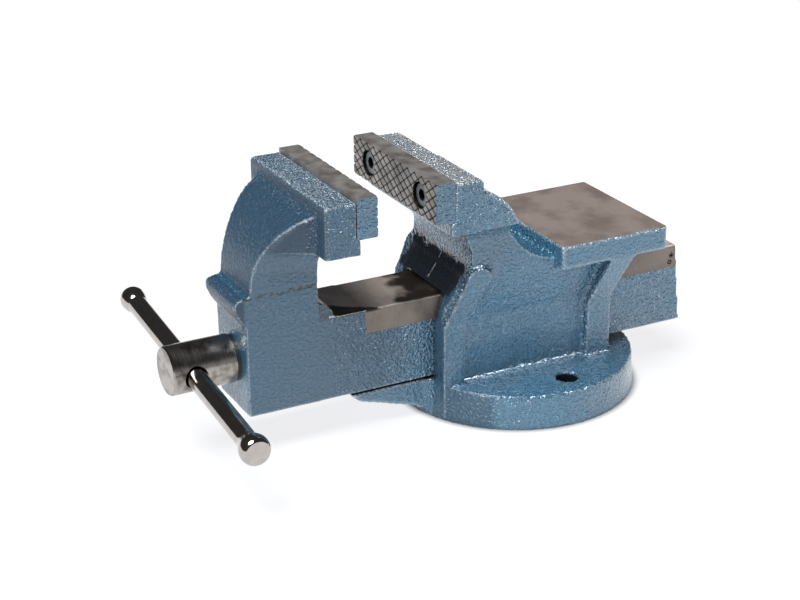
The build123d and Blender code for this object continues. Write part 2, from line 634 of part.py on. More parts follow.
def split_pin():
    """Split pin with its eye at the top and its two legs bent apart below."""
    wire = SPLIT_PIN_WIRE / 2
    free = SPLIT_PIN_REACH - SHANK_D / 2
    bar = split_pin_bar(SPLIT_PIN_D / 2, SHANK_D + 2.0)
    eye_r = free / 2 - wire
    eye_z = SCREW_HEIGHT + SPLIT_PIN_REACH - eye_r - wire
    pin = bar + Pos(split_pin_x(), 0, eye_z) * Rot(0, 90, 0) * Torus(eye_r, wire)
    leg = free - 1.0
    for side in (-1, 1):
        pin += (Pos(split_pin_x(), side * 1.2, SCREW_HEIGHT - SHANK_D / 2 - leg / 2)
                * Rot(side * 25, 0, 0) * Cylinder(wire, leg))
    return pin


def spindle_spring():
    """Open coil spring on the shank, between its two washers."""
    radius = SHANK_D / 2 + SPRING_INNER_GAP + SPRING_WIRE / 2
    height = SPRING_LENGTH - SPRING_WIRE
    path = Helix(pitch=height / SPRING_TURNS, height=height, radius=radius)
    start = Plane(origin=path @ 0, z_dir=path % 0)
    coil = sweep(start * Circle(SPRING_WIRE / 2), path=path, is_frenet=True)
    x0 = POCKET_START + SPRING_WASHER_T + SPRING_WIRE / 2
    return Pos(x0, 0, SCREW_HEIGHT) * Rot(0, 90, 0) * coil


def spindle_nut():
    """Block with the screw's matching thread, seated on the channel floor inside the beam."""
    x0 = NUT_CENTRE_X - NUT_LENGTH / 2
    nut = block(x0, x0 + NUT_LENGTH, -NUT_HALF, NUT_HALF, CHANNEL_FLOOR, NUT_TOP)
    nut = chamfer(nut.edges().filter_by(Axis.X).group_by(Axis.Z)[-1], 2.0)
    turns_before = int((x0 - THREAD_START) / THREAD_PITCH) - 1
    turns = int(NUT_LENGTH / THREAD_PITCH) + 4
    tap_start = THREAD_START + turns_before * THREAD_PITCH
    tap = rod_x(THREAD_CORE + THREAD_GAP, tap_start, tap_start + turns * THREAD_PITCH)
    for span in helix_thread(THREAD_CORE + THREAD_GAP, SHANK_D / 2 + THREAD_GAP,
                             THREAD_ROOT + 2 * THREAD_GAP, THREAD_CREST + 2 * THREAD_GAP,
                             turns, tap_start):
        tap += span
    nut -= tap
    nut -= rod_z(NUT_BOLT_D / 2 + SCREW_HOLE_GAP, CHANNEL_FLOOR - 1,
                 CHANNEL_FLOOR + NUT_BOLT_GRIP + 2, NUT_BOLT_X)
    return nut


def nut_bolt():
    """Hexagon bolt up through the base into the nut."""
    head_low = NUT_BOLT_HEAD_TOP - NUT_BOLT_HEAD_HEIGHT
    head = extrude(Plane.XY.offset(head_low) * Pos(NUT_BOLT_X, 0)
                   * RegularPolygon(NUT_BOLT_HEAD_AF / 2, 6, major_radius=False),
                   amount=NUT_BOLT_HEAD_HEIGHT)
    return head + rod_z(NUT_BOLT_D / 2, NUT_BOLT_HEAD_TOP - 1,
                        CHANNEL_FLOOR + NUT_BOLT_GRIP, NUT_BOLT_X)


def bolt_washer(outer_d, z0, z1):
    """A washer on the nut bolt."""
    return (rod_z(outer_d / 2, z0, z1, NUT_BOLT_X)
            - rod_z(NUT_BOLT_D / 2 + WASHER_CLEARANCE, z0 - 1, z1 + 1, NUT_BOLT_X))


def nut_flat_washer():
    """Plain washer against the casting."""
    return bolt_washer(NUT_WASHER_D, BASE_HOLLOW_DEPTH - NUT_WASHER_T, BASE_HOLLOW_DEPTH)


def nut_lock_washer():
    """Spring washer with its split."""
    washer = bolt_washer(LOCK_WASHER_D, NUT_BOLT_HEAD_TOP, NUT_BOLT_HEAD_TOP + LOCK_WASHER_T)
    slit = block(NUT_BOLT_X - LOCK_WASHER_SPLIT / 2, NUT_BOLT_X + LOCK_WASHER_SPLIT / 2,
                 0, LOCK_WASHER_D, NUT_BOLT_HEAD_TOP - 1, BASE_HOLLOW_DEPTH + 1)
    return washer - slit


# ---------------------------------------------------------------- handle
def handle_turn():
    """Turns a solid drawn along Z so that it lies along the handle."""
    return Rot(-90 + HANDLE_TILT, 0, 0)


def handle_place():
    """Frame whose Z axis runs along the handle towards its far end."""
    return Pos(HANDLE_X, 0, SCREW_HEIGHT) * handle_turn()


def handle_bar():
    """Round bar with a turned-down spigot at each end for its knob."""
    low = -HANDLE_NEAR + KNOB_LENGTH
    high = HANDLE_FAR - KNOB_LENGTH
    spigot = KNOB_LENGTH - KNOB_WALL
    bar = Pos(0, 0, (low + high) / 2) * Cylinder(HANDLE_D / 2, high - low)
    bar += Pos(0, 0, low - spigot / 2) * Cylinder(SPIGOT_D / 2, spigot)
    bar += Pos(0, 0, high + spigot / 2) * Cylinder(SPIGOT_D / 2, spigot)
    return handle_place() * bar


def spigot_bore(z0, direction):
    """Blind bore in a knob for the bar's spigot."""
    depth = KNOB_LENGTH - KNOB_WALL
    return Pos(0, 0, z0 + direction * depth / 2) * Cylinder(SPIGOT_D / 2, depth)


def handle_knob_near():
    """Necked knob that flares to a rounded rim with a flat end face."""
    root = -HANDLE_NEAR + KNOB_LENGTH
    outline = [
        Line((0, root), (HANDLE_D / 2, root)),
        Bezier((HANDLE_D / 2, root), (HANDLE_D / 2 + 0.2, root - 4.5),
               (NEAR_KNOB_D / 2, root - 6.5), (NEAR_KNOB_D / 2, root - 10.5)),
        Bezier((NEAR_KNOB_D / 2, root - 10.5), (NEAR_KNOB_D / 2, root - 13.6),
               (NEAR_KNOB_FACE_D / 2, -HANDLE_NEAR)),
        Line((NEAR_KNOB_FACE_D / 2, -HANDLE_NEAR), (0, -HANDLE_NEAR)),
        Line((0, -HANDLE_NEAR), (0, root)),
    ]
    knob = revolve(Plane.XZ * make_face(outline), Axis.Z)
    return handle_place() * (knob - spigot_bore(root, -1))


def handle_knob_far():
    """Domed knob."""
    root = HANDLE_FAR - KNOB_LENGTH
    radius = FAR_KNOB_D / 2
    equator = HANDLE_FAR - radius
    outline = [
        Line((0, root), (HANDLE_D / 2, root)),
        Bezier((HANDLE_D / 2, root), (radius - 0.3, root + 2.5), (radius, equator)),
        RadiusArc((radius, equator), (0, HANDLE_FAR), -radius),
        Line((0, HANDLE_FAR), (0, root)),
    ]
    knob = revolve(Plane.XZ * make_face(outline), Axis.Z)
    return handle_place() * (knob - spigot_bore(root, 1))


# ---------------------------------------------------------------- nodes
PARTS = {
    "fixed_jaw_body": fixed_jaw_body(),
    "fixed_jaw_plate": jaw_plate(FIXED_FACE, 1),
    "fixed_plate_screws": plate_screws(FIXED_FACE, 1),
    "spindle_nut": spindle_nut(),
    "nut_bolt": nut_bolt(),
    "nut_lock_washer": nut_lock_washer(),
    "nut_flat_washer": nut_flat_washer(),
    "sliding_jaw_body": sliding_jaw_body(),
    "sliding_jaw_plate": jaw_plate(SLIDING_FACE, -1),
    "sliding_plate_screws": plate_screws(SLIDING_FACE, -1),
    "slide_stop_pins": slide_stop_pins(),
    "lead_screw": lead_screw(),
    "thrust_washer": washer_x(THRUST_WASHER_D, WASHER_BORE, HEAD_BACK, JAW_FRONT),
    "spring_front_washer": washer_x(SPRING_WASHER_D, WASHER_BORE, POCKET_START,
                                    POCKET_START + SPRING_WASHER_T),
    "spindle_spring": spindle_spring(),
    "spring_rear_washer": washer_x(SPRING_WASHER_D, WASHER_BORE,
                                   POCKET_START + SPRING_WASHER_T + SPRING_LENGTH,
                                   POCKET_START + 2 * SPRING_WASHER_T + SPRING_LENGTH),
    "split_pin": split_pin(),
    "handle_bar": handle_bar(),
    "handle_knob_near": handle_knob_near(),
    "handle_knob_far": handle_knob_far(),
}

os.makedirs("parts", exist_ok=True)
for name, solid in PARTS.items():
    export_step(solid, f"parts/{name}.step")
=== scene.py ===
import math

import bmesh
import bpy
import numpy as np
from mathutils import Matrix, Vector, noise


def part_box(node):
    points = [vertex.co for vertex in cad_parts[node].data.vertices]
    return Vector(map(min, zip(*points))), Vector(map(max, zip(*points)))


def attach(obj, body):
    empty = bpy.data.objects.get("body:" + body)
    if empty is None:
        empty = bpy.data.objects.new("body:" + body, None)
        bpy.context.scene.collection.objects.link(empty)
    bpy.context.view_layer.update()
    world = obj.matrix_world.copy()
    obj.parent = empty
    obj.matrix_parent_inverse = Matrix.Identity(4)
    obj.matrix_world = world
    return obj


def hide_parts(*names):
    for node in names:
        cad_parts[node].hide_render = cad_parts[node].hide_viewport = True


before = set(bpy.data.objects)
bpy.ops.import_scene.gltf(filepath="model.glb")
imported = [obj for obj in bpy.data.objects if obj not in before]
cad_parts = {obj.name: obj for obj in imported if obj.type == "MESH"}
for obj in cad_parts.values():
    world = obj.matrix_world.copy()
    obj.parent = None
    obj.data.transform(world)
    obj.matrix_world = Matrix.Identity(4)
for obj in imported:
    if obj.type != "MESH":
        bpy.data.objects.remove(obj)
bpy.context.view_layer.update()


# ---- Bench under the vise, soft lamps and the viewer's place ------------------------------
# A white table that glows of itself all round the vise, and a wide soft lamp high on the left.
# Two small lamps draw glints in the enamel alone. The room above and behind is dark, so upright
# faces mirror the white table and level faces mirror the dark.
MM = 0.001                   # metres in a millimetre
SHEET_HALF = 9000.0
SHADED_RADIUS = 70.0         # mm round the base's middle where the table doesn't glow
GLOW_RADIUS = 78.0           # and beyond which it glows in full


def linear(hex_code):
    """An sRGB hex colour as linear red, green, blue and alpha."""
    parts = [int(hex_code[i:i + 2], 16) / 255 for i in (1, 3, 5)]
    return [c / 12.92 if c <= 0.04045 else ((c + 0.055) / 1.055) ** 2.4 for c in parts] + [1.0]


def add(tree, kind, settings=None, **links):
    """Adds a node with its settings; a link is a value or an output, keyed by socket name."""
    node = tree.nodes.new(kind)
    for key, value in (settings or {}).items():
        setattr(node, key, value)
    for key, value in links.items():
        key = key.replace("_", " ")
        index = int(key[1:]) if key[0] == "i" and key[1:].isdigit() else key
        socket = node.inputs[index]
        if isinstance(value, bpy.types.NodeSocket):
            tree.links.new(value, socket)
        else:
            socket.default_value = value
    return node


def new_material(name):
    """An empty node material with a Principled shader on its output."""
    material = bpy.data.materials.new(name)
    material.use_nodes = True
    tree = material.node_tree
    tree.nodes.clear()
    shader = add(tree, "ShaderNodeBsdfPrincipled")
    output = add(tree, "ShaderNodeOutputMaterial")
    tree.links.new(shader.outputs["BSDF"], output.inputs["Surface"])
    return material, tree, shader


def new_piece(name, mesh):
    """An object at the origin for a finished mesh."""
    piece = bpy.data.objects.new(name, mesh)
    bpy.context.scene.collection.objects.link(piece)
    return piece


def mesh_from(name, points, faces):
    """A mesh from millimetre points."""
    mesh = bpy.data.meshes.new(name)
    mesh.from_pydata([[c * MM for c in p] for p in points], [], faces)
    return mesh


camera_data = bpy.data.cameras.new("viewer")
camera_data.lens = 82.9
camera_data.sensor_width = 36.0
camera = bpy.data.objects.new("viewer", camera_data)
camera.matrix_world = Matrix((
    (0.88694, 0.18746, -0.42213, -0.52416),
    (-0.46181, 0.34414, -0.81749, -0.86805),
    (-0.00797, 0.92001, 0.39181, 0.48163),
    (0.0, 0.0, 0.0, 1.0)))
bpy.context.scene.collection.objects.link(camera)
bpy.context.scene.camera = camera

sheet = new_piece("white_sheet", mesh_from("white_sheet", [
    (-SHEET_HALF, -SHEET_HALF, 0), (SHEET_HALF, -SHEET_HALF, 0),
    (SHEET_HALF, SHEET_HALF, 0), (-SHEET_HALF, SHEET_HALF, 0)], [(0, 1, 2, 3)]))
# Matt white paper: chalky, with no gloss, and glowing of itself, so brighter than anything laid
# on it. The glow fades out round the base's foot, a painted shade there.
sheet_paper, tree, shader = new_material("matt_white_paper")
shader.inputs["Base Color"].default_value = linear("#7A7B7D")
shader.inputs["Roughness"].default_value = 0.9
shader.inputs["Specular IOR Level"].default_value = 0.1
shader.inputs["Emission Color"].default_value = linear("#FDFDFF")
place = add(tree, "ShaderNodeTexCoord").outputs["Object"]
from_base = add(tree, "ShaderNodeVectorMath", {"operation": "LENGTH"}, i0=place)
# Painted shade: the glow fades between these radii, darkening the table round the base.
glow = add(tree, "ShaderNodeMapRange", {"interpolation_type": "SMOOTHSTEP"},
           Value=from_base.outputs["Value"], From_Min=SHADED_RADIUS * MM,
           From_Max=GLOW_RADIUS * MM, To_Min=0.0, To_Max=0.84)
tree.links.new(glow.outputs[0], shader.inputs["Emission Strength"])
sheet.data.materials.append(sheet_paper)

world = bpy.data.worlds.new("studio_room")
world.use_nodes = True
room = world.node_tree
room.nodes.clear()
way = add(room, "ShaderNodeTexCoord").outputs["Generated"]
compass = add(room, "ShaderNodeSeparateXYZ", Vector=way)
height = add(room, "ShaderNodeMath", {"operation": "MULTIPLY_ADD"}, i0=compass.outputs["Z"],
             i1=0.9, i2=compass.outputs["Y"])
shade = add(room, "ShaderNodeMapRange", {"interpolation_type": "SMOOTHSTEP"},
            Value=height.outputs[0], From_Min=-0.8, From_Max=-0.3, To_Min=0.4, To_Max=0.05)
room_light = add(room, "ShaderNodeBackground", Color=linear("#F4F6FA"),
                 Strength=shade.outputs[0])
add(room, "ShaderNodeOutputWorld", Surface=room_light.outputs[0])
bpy.context.scene.world = world
bpy.context.scene.view_settings.view_transform = "Standard"

LAMPS = (                    # name, strength, degrees across, direction towards it
    ("soft_lamp_overhead", 4.3, 36, (-0.38, -0.12, 0.92)),
    ("small_lamp_in_front", 2.2, 22, (0.42, -0.50, 0.76)),
    ("small_lamp_on_left", 1.5, 20, (-0.67, -0.52, 0.50)))
glossy_castings = bpy.data.collections.new("castings_lit_by_small_lamps")
for name, energy, degrees, toward in LAMPS:
    lamp_data = bpy.data.lights.new(name, "SUN")
    lamp_data.energy = energy
    lamp_data.angle = math.radians(degrees)
    lamp = bpy.data.objects.new(name, lamp_data)
    lamp.rotation_euler = Vector(toward).to_track_quat("Z", "Y").to_euler()
    bpy.context.scene.collection.objects.link(lamp)
    if name.startswith("small"):
        lamp.light_linking.receiver_collection = glossy_castings
        lamp.visible_diffuse = False


# ---- Fixed casting: base, channel walls, neck, jaw block and anvil ------------------------
# Grey iron cast in sand and sprayed with hammered enamel, which pools into small dimples over
# the rough skin. The anvil's face is ground bare afterwards, which chips the paint at its edge.
SKIN_FIXED = 1.3             # mm between the points of the cast skin
CHANNEL_HALF = 21.8          # half width of the channel that the slide runs in
CHANNEL_LOW = 22.0           # its floor and roof lie between these heights
CHANNEL_HIGH = 76.0
THROAT_HALF = 23.5           # half width of the painted shade round the slide
THROAT_HALF_HIGH = 29.0      # and of its part above the split
THROAT_SPLIT = 75.0
RIB_FILM_AND_SHADE_TOP = 86.0          # dull paint and painted shade on the front ribs' noses end here
ANVIL_FRONT = 5.5
ANVIL_TOP = 98.0
BLOCK_TOP = 149.6            # top of both jaw blocks
BLOCK_FRONT = -66.0          # just behind the fixed plate's seat
SEAT_LOW = 118.0             # both plate seats lie above this height
ROUGH_ABOVE = 108.0          # the neck and the block have the roughest skin
BASE_TOP = 20.8
BASE_HOLE = (5.0, 53.65, 7.2)    # a bolt hole's place along and beside the slide, and reach
RIPPLE_DEPTH = 0.3           # the slow waves of a sand casting
RIPPLE_WIDTH = 14.0
TOP_DRESSED = 0.5            # ground off the far part of the block's top


def neighbour_mean(points, links):
    """The mean place of each point's neighbours along the mesh's edges."""
    one, two, count = links
    return np.stack([(np.bincount(one, points[two, k], len(points))
                      + np.bincount(two, points[one, k], len(points))) / count
                     for k in range(3)], 1)


def cast_skin(node, name, spacing):
    """An even, softened skin round a CAD solid: its mesh, millimetre points and their links."""
    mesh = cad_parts[node].data.copy()
    welded = bmesh.new()
    welded.from_mesh(mesh)
    bmesh.ops.remove_doubles(welded, verts=welded.verts, dist=0.002 * MM)
    welded.to_mesh(mesh)
    welded.free()
    solid = new_piece(name + "_mould", mesh)
    skin = solid.modifiers.new("skin", "REMESH")
    skin.mode = "VOXEL"
    skin.voxel_size = spacing * MM
    skin.use_smooth_shade = True
    shell = bpy.data.meshes.new_from_object(
        solid.evaluated_get(bpy.context.evaluated_depsgraph_get()))
    bpy.data.objects.remove(solid)
    shell.name = name
    shell.materials.clear()
    points = np.empty(len(shell.vertices) * 3, np.float32)
    shell.vertices.foreach_get("co", points)
    points = points.reshape(-1, 3).astype(float) / MM
    ends = np.empty(len(shell.edges) * 2, np.int32)
    shell.edges.foreach_get("vertices", ends)
    one, two = ends.reshape(-1, 2).T
    count = np.bincount(one, minlength=len(points)) + np.bincount(two, minlength=len(points))
    links = (one, two, count)
    low, high = points.min(0), points.max(0)
    for share in (0.5, -0.5):
        points += share * (neighbour_mean(points, links) - points)
    return shell, np.clip(points, low, high), links


def bend(points, normals, links, spacing):
    """How sharply the skin bends at each point: above 0 on outer edges, below 0 in corners."""
    return -((neighbour_mean(points, links) - points) * normals).sum(1) / spacing


def crisp_corners(shell, degrees):
    """Shades the skin smooth but for corners sharper than an angle."""
    shell.shade_smooth()
    shell.set_sharp_from_angle(angle=math.radians(degrees))


def skin_normals(shell, points):
    """Sets the points on the mesh and returns its normals at them."""
    shell.vertices.foreach_set("co", (points * MM).astype(np.float32).ravel())
    shell.update()
    normals = np.empty(len(points) * 3, np.float32)
    shell.vertices.foreach_get("normal", normals)
    return normals.reshape(-1, 3).astype(float)


def ripple(points, width, seed):
    """Slow waves from 0 to 1 over the casting."""
    shift = Vector((seed * 17.3, seed * 5.1, seed * 9.7))
    wave = [noise.noise(Vector(p) / width + shift)
            + 0.5 * noise.noise(Vector(p) * 2.3 / width + shift) for p in points]
    return np.clip(0.5 + 0.55 * np.array(wave), 0, 1)


def near_band(value, low, high, soft):
    """1 inside a band of values, falling to 0 over the soft width outside it."""
    return np.clip((value - low) / soft + 1, 0, 1) * np.clip((high - value) / soft + 1, 0, 1)


def face_centres(shell):
    """Centres in millimetres and normals of the mesh's faces."""
    centres = np.empty(len(shell.polygons) * 3, np.float32)
    shell.polygons.foreach_get("center", centres)
    normals = np.empty(len(shell.polygons) * 3, np.float32)
    shell.polygons.foreach_get("normal", normals)
    return centres.reshape(-1, 3) / MM, normals.reshape(-1, 3)


def set_attribute(shell, name, values):
    """A per-point number that a material reads."""
    attribute = shell.attributes.new(name, "FLOAT", "POINT")
    attribute.data.foreach_set("value", values.astype(np.float32))


# Hammered enamel: a blue lacquer with aluminium flake. Surface tension draws it into dimples
# about 2 mm wide with a paler, flake-rich floor and a deeper blue rim; it stays glossy. It reads
# six numbers from the points: how rough the skin is, film (dull paint, darkened as painted shade),
# edge (thin paint, paled as a painted highlight), corner (pooled paint, darkened as painted
# shade), grime (dirt and painted shade) and wear (chipped to iron, and painted light on the tops).
DIMPLE = 1.75
enamel, tree, shader = new_material("hammered_blue_enamel")
place = add(tree, "ShaderNodeTexCoord").outputs["Object"]
dimples = add(tree, "ShaderNodeTexNoise", {"noise_dimensions": "3D"}, Vector=place,
              Scale=1.0 / (DIMPLE * MM), Detail=1.5, Roughness=0.45, Distortion=0.35)
grit = add(tree, "ShaderNodeTexNoise", {}, Vector=place, Scale=1.0 / (0.8 * MM), Detail=2.0)
waves = add(tree, "ShaderNodeTexNoise", {}, Vector=place, Scale=1.0 / (14 * MM), Detail=2.0)
clouds = add(tree, "ShaderNodeTexNoise", {}, Vector=place, Scale=1.0 / (55 * MM), Detail=3.0)
pooled = add(tree, "ShaderNodeMapRange", {"interpolation_type": "SMOOTHSTEP"},
             Value=dimples.outputs["Fac"], From_Min=0.36, From_Max=0.66)
rough_skin = add(tree, "ShaderNodeAttribute", {"attribute_name": "rough_skin"})
wear_and_light = add(tree, "ShaderNodeAttribute", {"attribute_name": "wear_and_light"})
grime_and_shade = add(tree, "ShaderNodeAttribute", {"attribute_name": "grime_and_shade"})
blues = add(tree, "ShaderNodeMix", {"data_type": "RGBA"}, i0=pooled.outputs[0],
            i6=linear("#2C6A8A"), i7=linear("#427C9A"))
cloudy = add(tree, "ShaderNodeMapRange", Value=clouds.outputs["Fac"], From_Min=0.38,
             From_Max=0.62, To_Min=0.0, To_Max=0.5)
greyed = add(tree, "ShaderNodeMix", {"data_type": "RGBA"}, i0=cloudy.outputs[0],
             i6=blues.outputs[2], i7=linear("#44657C"))
# Painted shade: film darkens the paint on faces turned to the front and on the front parts,
# besides dulling its gloss.
film_and_shade = add(tree, "ShaderNodeAttribute", {"attribute_name": "film_and_shade"})
filmed_and_shaded = add(tree, "ShaderNodeMix", {"data_type": "RGBA"}, i0=film_and_shade.outputs["Fac"],
             i6=greyed.outputs[2], i7=linear("#1B3D54"))
# Painted highlight: paint on outer edges is paled towards a light blue grey, for thin paint and
# for the light lines along edges.
thin_edge_and_highlight = add(tree, "ShaderNodeAttribute", {"attribute_name": "thin_edge_and_highlight"})
corner_pool_and_shade = add(tree, "ShaderNodeAttribute", {"attribute_name": "corner_pool_and_shade"})
thin_and_highlit_patches = add(tree, "ShaderNodeMapRange", Value=grit.outputs["Fac"], From_Min=0.35,
                   From_Max=0.55)
thin_and_highlit = add(tree, "ShaderNodeMath", {"operation": "MULTIPLY"}, i0=thin_edge_and_highlight.outputs["Fac"],
           i1=thin_and_highlit_patches.outputs[0])
thinned_and_highlit = add(tree, "ShaderNodeMix", {"data_type": "RGBA"}, i0=thin_and_highlit.outputs[0],
              i6=filmed_and_shaded.outputs[2], i7=linear("#B4C4CE"))
# Painted shade: inner corners darken towards deep blue, for pooled paint and for the shade in
# them.
thick_and_shaded = add(tree, "ShaderNodeMath", {"operation": "MULTIPLY"}, i0=corner_pool_and_shade.outputs["Fac"], i1=0.55)
thickened_and_shaded = add(tree, "ShaderNodeMix", {"data_type": "RGBA"}, i0=thick_and_shaded.outputs[0],
                i6=thinned_and_highlit.outputs[2], i7=linear("#153C55"))
# Painted shade: grime darkens the paint towards near black in the throat, the channel and the bolt
# holes, besides real dirt.
dirt_and_shade_edge = add(tree, "ShaderNodeMath", {"operation": "MULTIPLY_ADD"}, i0=dimples.outputs["Fac"],
                i1=0.9, i2=-0.45)
dirt_and_shade_sum = add(tree, "ShaderNodeMath", {"operation": "ADD"}, i0=grime_and_shade.outputs["Fac"],
               i1=dirt_and_shade_edge.outputs[0])
dirt_and_shade = add(tree, "ShaderNodeMapRange", {"interpolation_type": "SMOOTHSTEP"},
           Value=dirt_and_shade_sum.outputs[0], From_Min=0.25, From_Max=0.75, To_Max=0.92)
soiled_and_shaded = add(tree, "ShaderNodeMix", {"data_type": "RGBA"}, i0=dirt_and_shade.outputs[0],
             i6=thickened_and_shaded.outputs[2], i7=linear("#16161D"))
chip_sum = add(tree, "ShaderNodeMath", {"operation": "MULTIPLY_ADD"}, i0=grit.outputs["Fac"],
               i1=1.6, i2=-0.8)
chip_and_highlight_edge = add(tree, "ShaderNodeMath", {"operation": "ADD"}, i0=wear_and_light.outputs["Fac"],
                i1=chip_sum.outputs[0])
chips_and_highlights = add(tree, "ShaderNodeMapRange", {"interpolation_type": "SMOOTHSTEP"},
            Value=chip_and_highlight_edge.outputs[0], From_Min=0.62, From_Max=0.78)
coloured = add(tree, "ShaderNodeMix", {"data_type": "RGBA"}, i0=chips_and_highlights.outputs[0],
               i6=soiled_and_shaded.outputs[2], i7=linear("#D3D6D8"))
tree.links.new(coloured.outputs[2], shader.inputs["Base Color"])
flake = add(tree, "ShaderNodeMapRange", Value=film_and_shade.outputs["Fac"], To_Min=0.36, To_Max=0.05)
tree.links.new(flake.outputs[0], shader.inputs["Metallic"])
shader.inputs["IOR"].default_value = 1.5
gloss = add(tree, "ShaderNodeMapRange", Value=pooled.outputs[0], To_Min=0.28, To_Max=0.16)
dulled = add(tree, "ShaderNodeMath", {"operation": "MULTIPLY_ADD"}, i0=film_and_shade.outputs["Fac"],
             i1=0.3, i2=gloss.outputs[0])
tree.links.new(dulled.outputs[0], shader.inputs["Roughness"])
clear = add(tree, "ShaderNodeMapRange", Value=film_and_shade.outputs["Fac"], To_Min=1.0, To_Max=0.25)
tree.links.new(clear.outputs[0], shader.inputs["Coat Weight"])
shader.inputs["Coat IOR"].default_value = 1.8
shader.inputs["Coat Roughness"].default_value = 0.07
relief = add(tree, "ShaderNodeMapRange", Value=rough_skin.outputs["Fac"], To_Min=0.05, To_Max=1.0)
slow = add(tree, "ShaderNodeBump", Height=waves.outputs["Fac"], Strength=0.25, Distance=1.6 * MM)
hammer = add(tree, "ShaderNodeBump", Height=pooled.outputs[0], Strength=relief.outputs[0],
             Distance=0.5 * MM, Normal=slow.outputs[0])
fine = add(tree, "ShaderNodeBump", Height=grit.outputs["Fac"], Strength=relief.outputs[0],
           Distance=0.05 * MM, Normal=hammer.outputs[0])
tree.links.new(fine.outputs[0], shader.inputs["Normal"])
tree.links.new(hammer.outputs[0], shader.inputs["Coat Normal"])

# Ground iron: the anvil's face, left bare. A cup wheel leaves faint parallel streaks, and
# handling leaves a thin brown film of oil.
ground_iron, tree, shader = new_material("ground_bare_iron")
place = add(tree, "ShaderNodeTexCoord").outputs["Object"]
along = add(tree, "ShaderNodeMapping", Vector=place, Scale=(1.0, 0.045, 1.0))
streaks = add(tree, "ShaderNodeTexNoise", {}, Vector=along.outputs[0], Scale=1.0 / (1.1 * MM),
              Detail=3.0, Roughness=0.6)
film_and_shade = add(tree, "ShaderNodeTexNoise", {}, Vector=place, Scale=1.0 / (22 * MM), Detail=3.0)
film_share = add(tree, "ShaderNodeMapRange", Value=film_and_shade.outputs["Fac"], From_Min=0.4,
                 From_Max=0.6)
filmed_and_shaded = add(tree, "ShaderNodeMix", {"data_type": "RGBA"}, i0=film_share.outputs[0],
             i6=linear("#A89A94"), i7=linear("#8C7E78"))
streaked = add(tree, "ShaderNodeMix", {"data_type": "RGBA", "blend_type": "MULTIPLY"}, i0=0.35,
               i6=filmed_and_shaded.outputs[2], i7=streaks.outputs["Fac"])
tree.links.new(streaked.outputs[2], shader.inputs["Base Color"])
shader.inputs["Metallic"].default_value = 0.3    # the oil film hides much of the metal
haze = add(tree, "ShaderNodeMapRange", Value=streaks.outputs["Fac"], To_Min=0.34, To_Max=0.50)
tree.links.new(haze.outputs[0], shader.inputs["Roughness"])
scored = add(tree, "ShaderNodeBump", Height=streaks.outputs["Fac"], Strength=0.25,
             Distance=0.05 * MM)
tree.links.new(scored.outputs[0], shader.inputs["Normal"])

# Planed iron: channel, slide top and slide strips, cut bare and left oily. The oil browns it, and
# cutter marks cross it about 1 mm apart. The slide's top is a pale fresh cut, lightened further as
# painted light where the jaw shades it, and the channel is darkened as painted shade.
planed_iron, tree, shader = new_material("oily_planed_iron")
place = add(tree, "ShaderNodeTexCoord").outputs["Object"]
cutter = add(tree, "ShaderNodeMapping", Vector=place, Rotation=(0, 0, 0.5), Scale=(1.0, 0.12, 1.0))
marks = add(tree, "ShaderNodeTexNoise", {}, Vector=cutter.outputs[0], Scale=1.0 / (1.6 * MM),
            Detail=3.0, Roughness=0.6)
oil = add(tree, "ShaderNodeTexNoise", {}, Vector=place, Scale=1.0 / (13 * MM), Detail=4.0)
# Painted shade: where grime is set, in the channel, the iron darkens towards oily brown black as
# shade.
oil_and_shade_here = add(tree, "ShaderNodeAttribute", {"attribute_name": "grime_and_shade"})
oil_and_shade_sum = add(tree, "ShaderNodeMath", {"operation": "MULTIPLY_ADD"}, i0=oil.outputs["Fac"],
              i1=0.7, i2=oil_and_shade_here.outputs["Fac"])
oily_and_shaded = add(tree, "ShaderNodeMapRange", {"interpolation_type": "SMOOTHSTEP"},
           Value=oil_and_shade_sum.outputs[0], From_Min=0.24, From_Max=0.95)
# Painted light: wear on the slide's top draws it as pale fresh cut iron, lighter than the jaw's
# shade would leave it.
fresh_and_lit = add(tree, "ShaderNodeAttribute", {"attribute_name": "wear_and_light"})
fresh_cut_and_lit = add(tree, "ShaderNodeMix", {"data_type": "RGBA"}, i0=fresh_and_lit.outputs["Fac"],
                i6=linear("#9A8F86"), i7=linear("#D0C0B5"))
bare = add(tree, "ShaderNodeMix", {"data_type": "RGBA"}, i0=oily_and_shaded.outputs[0],
           i6=fresh_cut_and_lit.outputs[2], i7=linear("#2E2720"))
cut = add(tree, "ShaderNodeMix", {"data_type": "RGBA", "blend_type": "MULTIPLY"}, i0=0.35,
          i6=bare.outputs[2], i7=marks.outputs["Fac"])
tree.links.new(cut.outputs[2], shader.inputs["Base Color"])
shader.inputs["Metallic"].default_value = 0.3
wet = add(tree, "ShaderNodeMapRange", Value=oily_and_shaded.outputs[0], To_Min=0.5, To_Max=0.28)
tree.links.new(wet.outputs[0], shader.inputs["Roughness"])
chatter = add(tree, "ShaderNodeBump", Height=marks.outputs["Fac"], Strength=0.5,
              Distance=0.15 * MM)
tree.links.new(chatter.outputs[0], shader.inputs["Normal"])

